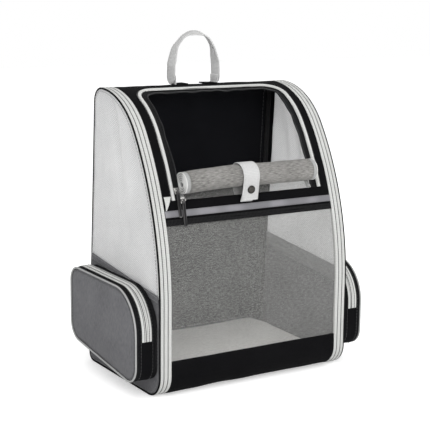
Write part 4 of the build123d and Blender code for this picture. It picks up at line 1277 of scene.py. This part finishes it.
def pocket_line(inset=0.0):
    """The pocket's closed outline in the Y-Z plane, moved inwards by an inset."""
    step = 0.003
    slope = (pocket_low_back - pocket_low_front) / (pocket_back - pocket_front)
    front, back, top = pocket_front + inset, pocket_back - inset, pocket_top - inset
    low_front, low_back = pocket_low_front + inset * (1 + slope), pocket_low_back + inset * (1 - slope)
    middle = (0.0, (low_front + low_back) / 2)
    corners = [middle, (front, low_front), (front, top), (back, top), (back, low_back), middle]
    radii = [max(0.004, radius - inset) for radius in pocket_radii]
    return even(rounded([Vector((0, *corner)) for corner in corners], radii, step), step)[:-1]


def outward_ways(line):
    """The direction straight out of a closed upright line, at each of its points."""
    middle = Vector((0, 0, sum(point.z for point in line) / len(line)))
    ways = []
    for index, point in enumerate(line):
        along = line[(index + 1) % len(line)] - line[index - 1]
        way = Vector((0, along.z, -along.y)).normalized()
        ways.append(way if way.dot(point - middle) > 0 else -way)
    return ways


# %% Pocket face
def pocket_face(side):
    """The padded face, which bulges by its distance to the border."""
    border = [(point.y, point.z) for point in pocket_line(0.0028)]
    face = side_grid(0.0, -0.106, 0.104, 0.018, 0.158, step=0.006)
    cut_convex(face, border)
    for vert in face.verts:
        reach = from_border(vert.co, border)
        swell = 1 - (1 - min(1.0, reach / 0.045)) ** 2
        wave = noise.noise(Vector((vert.co.y * 16, vert.co.z * 16, 3.0 + side))) * min(1.0, reach / 0.02)
        vert.co.x = side * (half_width + pocket_rim + 0.0012 + 0.0042 * swell + 0.0015 * wave)
    map_side(face)
    face_outwards(face, side)
    return face


# %% Gusset, piping, zip and stitches
def pocket(side, name):
    """All the cloth pieces of one pocket."""
    face = add_piece("pocket_face_cloth_" + name, pocket_face(side), grey_cloth, ["pocket_face_" + name], closed=False)
    thicken(face, 0.0020)
    line = pocket_line()
    ways = outward_ways(line)

    def round_pocket(section, places, loop=False):
        """A sweep of an (x, out) section round the pocket, or along a part of its outline."""
        flip = side * across_sign(places)
        return sweep([(flip * (half_width + x), out) for x, out in section], places, loop=loop)

    def at_depth(points, directions, x, out):
        """A line on the gusset, moved out of it, at a depth of the pocket."""
        return [point + way * out + Vector((side * (half_width + x), 0, 0)) for point, way in zip(points, directions)]

    all_round = places_round(line, ways)
    gusset = round_pocket([(0.0002, 0.0), (0.008, 0.0006), (0.017, 0.0002), (0.026, 0.0005), (0.0318, 0.0),
                           (0.0318, -0.0020), (0.017, -0.0018), (0.0002, -0.0020)], all_round, loop=True)
    add_piece("pocket_gusset_cloth_" + name, gusset, black_cloth, ["pocket_gusset_" + name])
    rim = round_pocket([(0.0322, -0.0005), (0.0326, 0.0003), (0.0335, 0.0006), (0.0344, 0.0001), (0.0347, -0.0008),
                        (0.0343, -0.0017), (0.0334, -0.0022), (0.0326, -0.0018)], all_round, loop=True)
    add_piece("pocket_piping_cloth_" + name, rim, pocket_trim, ["pocket_piping_" + name])

    start = next(k for k, point in enumerate(line) if point.y < -0.1 and point.z > 0.084)
    end = max(k for k, point in enumerate(line) if point.y > 0.1 and point.z > 0.066)
    run, run_ways = line[start:end + 1], ways[start:end + 1]
    zip_run = round_pocket([(0.0095, 0.0007), (0.0103, 0.0013), (0.0125, 0.0015), (0.0148, 0.0012), (0.0156, 0.0002),
                            (0.0184, 0.0002), (0.0192, 0.0012), (0.0215, 0.0015), (0.0237, 0.0013), (0.0245, 0.0007),
                            (0.0240, -0.0002), (0.0170, -0.0003), (0.0100, -0.0002)], places_along(run, run_ways))
    add_piece("pocket_zip_cloth_" + name, zip_run, zip_cloth, ["pocket_zip_band_" + name])
    # The two dark grey lines beside the pale middle coil are painted groove shade.
    for reach, finish in ((0.0132, groove_shade_fill), (0.0170, zip_coil_pale), (0.0208, groove_shade_fill)):
        groove = coil(at_depth(run, run_ways, reach, 0.0010), run_ways, 0.0008, 0.0026)
        add_piece("pocket_zip_line_%s_%d" % (name, reach * 1e4), groove, finish, closed=False)

    row = [point + Vector((side * (half_width + 0.0338), 0, 0)) for point in pocket_line(0.0046)]
    rows = [(row + row[:1], [Vector((side, 0, 0))])]
    for x in (0.0080, 0.0260):
        row = at_depth(line, ways, x, 0.0008)
        rows.append((row + row[:1], ways + ways[:1]))
    stitches("pocket_stitches_" + name, rows, black_thread, radius=0.0003, length=0.003, gap=0.0018)


for side, name in both_sides:
    pocket(side, name)

# %% [markdown]
# ## Floor pad
#
# The pad is a soft cushion that fills the floor of the cabin. It starts as a bevelled block a
# little smaller than the real pad. Cloth simulation with pressure then blows it up like a
# cushion, and no point may move more than a set distance, so it stays in its place. The corners
# are drawn in, as stuffed corners are. The piped seam is added last, because remeshing a
# surface would remove it.

# %% Pad block
pad_half, pad_front, pad_back, pad_low, pad_high = 0.139, -0.094, 0.0994, 0.0074, 0.0344
pad_swell = 0.0035


def pad_block(shrink):
    """A rounded block for the pad, with its corners drawn in."""
    bm = bmesh.new()
    bmesh.ops.create_cube(bm, size=1.0)
    bmesh.ops.subdivide_edges(bm, edges=bm.edges[:], cuts=7, use_grid_fill=True)
    half_y, middle_y = (pad_back - pad_front) / 2 - shrink, (pad_back + pad_front) / 2
    half_z, middle_z = (pad_high - pad_low) / 2 - shrink * 0.7, (pad_high + pad_low) / 2
    for vert in bm.verts:
        x, y, z = vert.co.x * 2, vert.co.y * 2, vert.co.z * 2
        corner = 1 - 0.035 * (x * x * y * y) ** 2
        rim = 1 - 0.045 * abs(z) ** 3
        vert.co = (x * (pad_half - shrink) * corner * rim, middle_y + y * half_y * corner * rim, middle_z + z * half_z)
    return bm


pad_bm = pad_block(pad_swell)
vertical = [e for e in pad_bm.edges if abs(e.verts[0].co.x) > 0.12 and abs(e.verts[0].co.y) > 0.08
            and abs((e.verts[0].co - e.verts[1].co).normalized().z) > 0.9 and e.calc_face_angle(0) > radians(50)]
bmesh.ops.bevel(pad_bm, geom=vertical, offset=0.02, offset_type="OFFSET", affect="EDGES", segments=4, profile=0.5,
                material=-1)
pad = add_piece("floor_pad_cushion", pad_bm, pad_cloth, ["floor_pad"], body="floor_pad", sharp=radians(70))


# %% A cushion's swell, by cloth simulation
def apply_modifiers(piece):
    """Replaces a piece's mesh by what its modifiers make."""
    bpy.context.view_layer.update()
    graph = bpy.context.evaluated_depsgraph_get()
    finished = bpy.data.meshes.new_from_object(piece.evaluated_get(graph), depsgraph=graph)
    finished.name = piece.name
    piece.modifiers.clear()
    piece.data = finished


def swell(piece, voxel, pressure, cap, frames=20):
    """Remeshes a closed piece and blows it up, with each point's move capped."""
    remesh = piece.modifiers.new("even faces", "REMESH")
    remesh.mode = "VOXEL"
    remesh.voxel_size = voxel
    apply_modifiers(piece)
    before = [vert.co.copy() for vert in piece.data.vertices]
    cloth_settings = piece.modifiers.new("air", "CLOTH")
    cloth_settings.settings.use_pressure = True
    cloth_settings.settings.uniform_pressure_force = pressure
    cloth_settings.settings.effector_weights.gravity = 0.0
    cloth_settings.point_cache.frame_start = 1
    cloth_settings.point_cache.frame_end = frames
    for number in range(1, frames + 1):
        bpy.context.scene.frame_set(number)
    graph = bpy.context.evaluated_depsgraph_get()
    after = [vert.co.copy() for vert in piece.evaluated_get(graph).data.vertices]
    piece.modifiers.clear()
    bpy.context.scene.frame_set(1)
    moved = 0.0
    for vert, old, new in zip(piece.data.vertices, before, after):
        step = new - old
        if step.length > cap:
            step = step * (cap / step.length)
        moved = max(moved, step.length)
        vert.co = old + step
    piece.data.shade_smooth()
    print(piece.name, "swelled by", round(moved, 4), "m at most")


# %% Swell, dent and round the pad
swell(pad, 0.005, 4.0, 0.004)
for vert in pad.data.vertices:
    share = min(1.0, max(0.0, (vert.co.z - pad_low) / (pad_high - pad_low)))
    dent = noise.noise(Vector((vert.co.x * 13, vert.co.y * 13, 2.0)))
    vert.co.z += 0.0016 * share * dent
    vert.co.z = min(max(vert.co.z, pad_low + touch_gap), pad_high + 0.002)
    vert.co.x = max(-pad_half, min(pad_half, vert.co.x))
    vert.co.y = max(pad_front - 0.0015, min(pad_back + 0.001, vert.co.y))
rounding = pad.modifiers.new("soften", "SUBSURF")
rounding.levels = rounding.render_levels = 1


# %% Piped seam of the pad
def flat_rectangle(half, low, high, height, corner):
    """A closed rounded rectangle at a height, from the middle of its low side."""
    points = [(0, low), (-half, low), (-half, high), (half, high), (half, low), (0, low)]
    return even(rounded([Vector((x, y, height)) for x, y in points], [corner] * 4, 0.004), 0.005)[:-1]


def pad_seam(height):
    """A piping round the pad at a height, laid on the side of the swollen pad."""
    pad_sides = BVHTree.FromPolygons([vert.co for vert in pad.data.vertices],
                                     [tuple(polygon.vertices) for polygon in pad.data.polygons])
    line = flat_rectangle(pad_half, pad_front, pad_back, height, 0.024)
    middle = Vector((0, (pad_front + pad_back) / 2, height))
    for point in line:
        point.z += 0.0010 * noise.noise(Vector((point.x * 14, point.y * 14, 6.0)))
        centre = Vector((0.7 * point.x, 0.5 * (point.y + middle.y), point.z))
        outward = (point - centre).normalized()
        hit = pad_sides.ray_cast(centre, outward)[0]
        if hit:
            point.x, point.y = (hit + 0.0002 * outward).xy
    return sweep(round_section(0.0013, 6), places_round(line, [(p - middle).normalized() for p in line]), loop=True)


add_piece("floor_pad_seam", pad_seam(pad_high - 0.0065), pad_cloth, body="floor_pad")

# %% [markdown]
# ## Padded back
#
# The back has five rolls of padding under spacer mesh, with sewn channels between them. The pad
# starts as a flat strip on the back's outline, and each point's height is the crown of its roll,
# lowered towards the border where the padding is sewn down. Its corners are large and its sides
# are drawn in a little.

# %% Padding
padding_low, padding_high, padding_half, padding_corner = 0.112, 0.352, 0.118, 0.030
padding_start, padding_end = back_run_at(padding_high), back_run_at(padding_low)
padding_length, padding_rolls = padding_end - padding_start, 5
padding_foot, waist = 0.0012, 0.005


def up_the_padding(run):
    """Where a length lies on the padding: -1 at its top end, 0 in the middle and 1 at its foot."""
    return 2 * (run - padding_start) / padding_length - 1


padding_bm = strip(-padding_half, padding_half, padding_start, padding_end, step=0.004)
for vert in padding_bm.verts:
    x_share, y_share = vert.co.x / padding_half, up_the_padding(vert.co.y)
    over_x = max(0.0, abs(vert.co.x) - (padding_half - padding_corner))
    over_y = max(0.0, abs(y_share) * padding_length / 2 - (padding_length / 2 - padding_corner))
    if over_x > 0 and over_y > 0:
        pull = max(over_x, over_y) / hypot(over_x, over_y)
        vert.co.x = (1 if vert.co.x > 0 else -1) * (padding_half - padding_corner + over_x * pull)
        vert.co.y += (1 if y_share < 0 else -1) * over_y * (1 - pull)
    vert.co.x -= waist * (1 - y_share ** 2) * x_share
    edge_gap = min(padding_half * (1 - abs(x_share)), padding_length / 2 * (1 - abs(y_share)))
    sewn_down = sqrt(min(1.0, max(0.0, edge_gap) / 0.014))
    roll_share = ((vert.co.y - padding_start) / padding_length * padding_rolls) % 1.0
    crown = sqrt(max(0.0, 1 - (2 * roll_share - 1) ** 2))
    wave = noise.noise(Vector((vert.co.x * 22, vert.co.y * 22, 5.0)))
    vert.co.z = padding_foot + (0.0036 + 0.0072 * crown + 0.0006 * wave) * sewn_down
deepen(padding_bm, 0.0010)
for vert in padding_bm.verts:
    if vert.co.z < padding_foot or len([face for face in vert.link_faces if face.normal.z < -0.5]) > 2:
        vert.co.z = min(vert.co.z, 0.0002)
padding = add_piece("back_padding_cushion", wrap(padding_bm), spacer_mesh, ["back_padding"], sharp=radians(80))

# %% Channels and binding of the padding
rows = []
for k in range(1, padding_rolls):
    run = padding_start + padding_length * k / padding_rolls
    rows.append(on_outline([(-0.104, run), (0.104, run)], 0.0054))
stitches("back_padding_stitches", rows, grey_thread, radius=0.0004, length=0.004, gap=0.002)

border = []
for point in flat_rectangle(padding_half, padding_start, padding_end, 0, padding_corner):
    border.append((point.x - waist * (1 - up_the_padding(point.y) ** 2) * point.x / padding_half, point.y))
binding = sweep(round_section(0.0016, 8), places_round(*on_outline(border, padding_foot)), loop=True)
add_piece("back_padding_binding", binding, black_webbing)

# %% [markdown]
# ## Shoulder straps
#
# Each strap is a flat padded band, sewn in at the top of the back, that hangs in a bow down to
# its ladder lock. It follows its path as a sweep, with a crowned section. A binding of webbing
# closes both edges, with a row of stitches beside it, and a strip of webbing runs down its middle.

# %% Strap path and section
strap_centre, shoulder_width, shoulder_thick = 0.076, 0.058, 0.009
tan_lean = tan(back_lean)


def back_at(height):
    """The back face's Y at a height."""
    return back_foot_y - height * tan_lean


shoulder_points = [(back_at(0.374) - 0.004, 0.3738), (0.121, 0.378), (0.146, 0.262), (0.131, 0.138)]


def shoulder_section(width, thickness):
    """A padded strap's section: crowned, with thin bound edges."""
    half, deep = width / 2, thickness / 2
    upper = [(-half, -deep * 0.25), (-half * 0.93, -deep * 0.45), (-half * 0.8, -deep * 0.86), (-half * 0.4, -deep),
             (0, -deep * 0.97), (half * 0.4, -deep), (half * 0.8, -deep * 0.86), (half * 0.93, -deep * 0.45),
             (half, -deep * 0.25)]
    return upper + [(x, -y) for x, y in reversed(upper)]


def shift_off(path, facing, out, across=0.0):
    """A path moved off another along its facing."""
    return [point + way * out + Vector((across, 0, 0)) for point, way in zip(path, facing)]


# %% Strap pieces
def shoulder_strap(side, name):
    """One shoulder strap with its binding, its stitches and the webbing down its middle."""
    x = side * strap_centre
    path = even(rounded([Vector((x, y, z)) for y, z in shoulder_points], [0.020, 0.300], 0.004), 0.005)
    facing = [Vector((0, -along.z, along.y)) for along in headings(path)]
    places = places_along(path, facing)
    strap = sweep(shoulder_section(shoulder_width - 0.002, shoulder_thick - 0.0006), places)
    for vert in strap.verts:
        wave = noise.noise(Vector((vert.co.x * 20, vert.co.z * 14, 4.0 + side)))
        vert.co.y += 0.0008 * wave
    piece = add_piece("shoulder_strap_padding_" + name, strap, strap_cloth, ["shoulder_strap_" + name],
                      sharp=radians(70))
    rows = []
    for edge in (-1, 1):
        reach = edge * (shoulder_width / 2 - 0.0022)
        rope = sweep(round_section(0.0021, 8), places_along(shift_off(path, facing, 0.0, reach), facing))
        add_piece("shoulder_binding_%s_%s" % (name, "inner" if edge < 0 else "outer"), rope, black_webbing)
        for face in (-1, 1):
            inner_reach = edge * (shoulder_width / 2 - 0.0068)
            line = shift_off(path[2:-1], facing[2:-1], face * 0.0036, inner_reach)
            rows.append((line, [way * face for way in facing[2:-1]]))
    stitches("shoulder_stitches_" + name, rows, grey_thread, radius=0.00035, length=0.003, gap=0.0018)
    outward = 1 if facing[len(facing) // 2].y > 0 else -1
    centre_line = shift_off(path[3:], facing[3:], outward * (shoulder_thick / 2 + 0.0006))
    ribbon = sweep(flat_section(0.025, 0.0014), places_along(centre_line, facing[3:]))
    add_piece("shoulder_webbing_" + name, ribbon, black_webbing)


for side, name in both_sides:
    shoulder_strap(side, name)

# %% [markdown]
# ## Ladder locks and webbing
#
# The ladder lock hangs from the strap's end by a loop of webbing, and the lower webbing comes up
# from the foot of the back, goes round the middle bar and hangs down as a free tail. Webbing
# round a bar is the same sweep as a strap, along a path that turns back on itself.

# %% Lower webbing
lock_thick, lock_bar, lock_length, lock_drop, webbing_wide = 0.0036, 0.0044, 0.029, 0.026, 0.025
foot_z = 0.036
foot_y, (end_y, end_z) = back_at(foot_z), shoulder_points[-1]
lock_reach = hypot(end_y - foot_y, end_z - foot_z)
lock_up = Vector((0, (end_y - foot_y) / lock_reach, (end_z - foot_z) / lock_reach))
lock_out = Vector((0, lock_up.z, -lock_up.y))


def bar_path(x, points, radii):
    """A path in the ladder lock's own plane: (up, out) points."""
    origin = Vector((x, end_y, end_z)) - lock_up * lock_drop
    line = even(rounded([origin + lock_up * up + lock_out * out for up, out in points], radii, 0.0008), 0.0022)
    return line, [along.cross(Vector((1, 0, 0))) for along in headings(line)]


webbing_section = flat_section(webbing_wide - 0.0004, webbing_thick)
wall_gap = lock_thick / 2 + touch_gap + webbing_thick / 2
bar_gap = lock_bar / 2 + touch_gap + webbing_thick / 2
bar = lock_length / 2 - lock_bar / 2
ribbon_points = [(lock_drop - lock_reach - 0.002, -wall_gap), (bar_gap, -wall_gap), (bar_gap, wall_gap),
                 (-0.057, wall_gap)]
loop_points = [(lock_drop + 0.010, -0.0012), (bar + bar_gap + 0.001, -wall_gap), (bar - bar_gap, -wall_gap),
               (bar - bar_gap, wall_gap), (bar + bar_gap + 0.001, wall_gap), (lock_drop + 0.010, 0.0012)]
for side, name in both_sides:
    x = side * strap_centre
    line, ways = bar_path(x, ribbon_points, [0.0018, 0.0018])
    for index, point in enumerate(line):
        point.x += 0.0006 * noise.noise(Vector((index * 0.2, side, 0)))
    add_piece("lower_webbing_ribbon_" + name, sweep(webbing_section, places_along(line, ways)), black_webbing,
              ["lower_webbing_" + name])
    line, ways = bar_path(x, loop_points, [0.003, 0.0017, 0.0017, 0.003])
    add_piece("lock_loop_webbing_" + name, sweep(webbing_section, places_along(line, ways)), black_webbing)
    hem = []
    for up in (-0.0545, -0.0515):
        middle = Vector((x, end_y, end_z)) - lock_up * lock_drop + lock_up * up + lock_out * (wall_gap + 0.0010)
        hem.append(([middle - Vector((0.0105, 0, 0)), middle + Vector((0.0105, 0, 0))], [lock_out]))
    stitches("webbing_hem_" + name, hem, grey_thread, length=0.0024)

# %% [markdown]
# ## Chest strap
#
# A narrower webbing crosses the chest between the shoulder straps. Each half turns round the bar
# of its buckle half and is sewn back on itself with two rows of stitches.

# %% Chest webbing
(strap_high_y, strap_high_z), (strap_bow_y, strap_bow_z) = shoulder_points[1:3]
chest_z, chest_wide = 0.315, 0.020
chest_share = (strap_high_z - chest_z) / (strap_high_z - strap_bow_z)
chest_y = strap_high_y + chest_share * (strap_bow_y - strap_high_y)
buckle_bar, bar_thick, lap = 0.0034, 0.004, 0.0017
reach = buckle_bar / 2 + touch_gap + webbing_thick / 2
deep = bar_thick / 2 + touch_gap + webbing_thick / 2
turn_round_bar = [(reach + 0.006, 0.0), (reach, -deep), (-reach, -deep), (-reach, deep), (reach, deep),
                  (reach + 0.007, lap), (reach + 0.022, lap)]
for side, name, bar_edge in ((-1, "left", 0.0183), (1, "right", 0.0270)):
    bar_x = side * (bar_edge - buckle_bar / 2)
    points = [(side * (strap_centre - shoulder_width / 2 + 0.001), 0.0)]
    points += [(bar_x + side * x, y) for x, y in turn_round_bar]
    line = even(rounded([Vector((x, chest_y + y, chest_z)) for x, y in points],
                        [0.004, 0.003, 0.0017, 0.0017, 0.003, 0.004], 0.0008), 0.0020)
    ways = [along.cross(Vector((0, 0, 1))) for along in headings(line)]
    ribbon = sweep(flat_section(chest_wide - 0.0004, webbing_thick), places_along(line, ways))
    add_piece("chest_webbing_ribbon_" + name, ribbon, black_webbing, ["chest_webbing_" + name])
    rows = []
    for x in (0.010, 0.020):
        post = Vector((bar_x + side * (reach + x), chest_y + lap + webbing_thick / 2 + 0.0001, chest_z))
        rows.append(([post - Vector((0, 0, 0.008)), post + Vector((0, 0, 0.008))], [Vector((0, 1, 0))]))
    stitches("chest_stitches_" + name, rows, grey_thread, length=0.0022)

# %% [markdown]
# ## Hard parts keep their CAD shapes
#
# Sliders, pulls, snap, buckle, ladder locks and the base board are already right in the CAD
# model. They stay as they are and get better materials.

# %% Finishes of the hard parts
finishes = {
    "slider": bright_metal, "snap_cap": snap_metal, "snap_stud": snap_metal, "pull": pull_rubber,
    "ladder_lock": black_plastic, "buckle": black_plastic, "base_board": grey_board,
}
for name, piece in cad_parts.items():
    finish = next((finish for word, finish in finishes.items() if word in name), None)
    if finish:
        for item in piece if isinstance(piece, (list, tuple)) else [piece]:
            for slot in item.material_slots:
                slot.material = finish
            if not item.material_slots:
                item.data.materials.append(finish)
        print(name, finish.name)

# %% [markdown]
# ## Camera, light and floor
#
# The camera stands where the photograph's perspective puts it, a little left of the front and a
# little above, with a long lens. Its place was found by fitting the outline's curves. The light
# comes from three large soft panels, at the front left, the front and the right, in a bright
# room. The room and the floor show white to the camera, while the object is lit at a plain level.

# %% Camera
camera_turn, camera_rise, camera_roll = radians(-31.725), radians(10.934), radians(0.551)
camera_distance, camera_lens = 1.797248, 100.10
look_at = Vector((0.002039, 0.0103, 0.227252))
back_way = Vector((sin(camera_turn) * cos(camera_rise), -cos(camera_turn) * cos(camera_rise), sin(camera_rise)))
side_way = Vector((cos(camera_turn), sin(camera_turn), 0))
up_way = back_way.cross(side_way)
tilted_side = side_way * cos(camera_roll) + up_way * sin(camera_roll)
tilted_up = up_way * cos(camera_roll) - side_way * sin(camera_roll)
camera = new_object("camera", bpy.data.cameras.new("camera"))
camera.matrix_world = Matrix((tilted_side, tilted_up, back_way)).transposed().to_4x4()
camera.location = look_at + back_way * camera_distance
camera.data.lens = camera_lens
camera.data.sensor_width = 36.0
camera.data.clip_end = 50.0
bpy.context.scene.camera = camera
print("camera at", [round(v, 3) for v in camera.location])


# %% Light
def soft_panel(name, place, size, power):
    """A square area light that faces the carrier."""
    light = bpy.data.lights.new(name, "AREA")
    light.shape = "SQUARE"
    light.size = size
    light.energy = power
    lamp = new_object(name, light)
    lamp.location = place
    lamp.rotation_euler = (Vector((0, 0, 0.2)) - Vector(place)).to_track_quat("-Z", "Y").to_euler()


soft_panel("front left panel", (-1.5, -1.5, 2.0), 1.6, 26)
soft_panel("front panel", (-0.3, -2.6, 0.9), 1.4, 24)
soft_panel("right panel", (2.1, -0.6, 1.1), 1.8, 18)


def white_backdrop(tree):
    """1 for what the camera sees by itself, in a reflection or through glass, and 0 for light."""
    rays = add_node(tree, "LightPath")
    seen = math_node(tree, "MAXIMUM", rays.outputs["Is Camera Ray"], rays.outputs["Is Glossy Ray"])
    return math_node(tree, "MAXIMUM", seen, rays.outputs["Is Transmission Ray"])


world = bpy.data.worlds.new("room")
bpy.context.scene.world = world
world.use_nodes = True
room = world.node_tree
strength = spread(room, white_backdrop(room), 0.0, 1.0, 0.82, 1.0)
room.links.new(strength, room.nodes["Background"].inputs["Strength"])
room.nodes["Background"].inputs["Color"].default_value = (1, 1, 1, 1)

# %% Floor
floor_bm = bmesh.new()
bmesh.ops.create_grid(floor_bm, x_segments=2, y_segments=2, size=6.0)
floor_mesh = bpy.data.meshes.new("floor")
floor_bm.to_mesh(floor_mesh)
floor_bm.free()
floor_piece = new_object("floor", floor_mesh)
floor_finish, tree, surface = shader("white floor", (0.88, 0.88, 0.88), 0.9, Specular_IOR_Level=0.1)
grain = clouds(tree, add_node(tree, "TexCoord").outputs["Object"], 0.8, 1.0)
tree.links.new(blend_colours(tree, grain, (0.87, 0.87, 0.87), (0.89, 0.89, 0.89)), surface.inputs["Base Color"])
surface.inputs["Emission Color"].default_value = (1, 1, 1, 1)
tree.links.new(math_node(tree, "MULTIPLY", white_backdrop(tree), 0.42), surface.inputs["Emission Strength"])
floor_mesh.materials.append(floor_finish)
floor_mesh.transform(Matrix.Translation((0, 0, cad_low[2] - 0.0005)))

# %% [markdown]
# ## Finish
#
# Standard view keeps the colours as they are written.

# %% Finish
bpy.context.scene.view_settings.view_transform = "Standard"
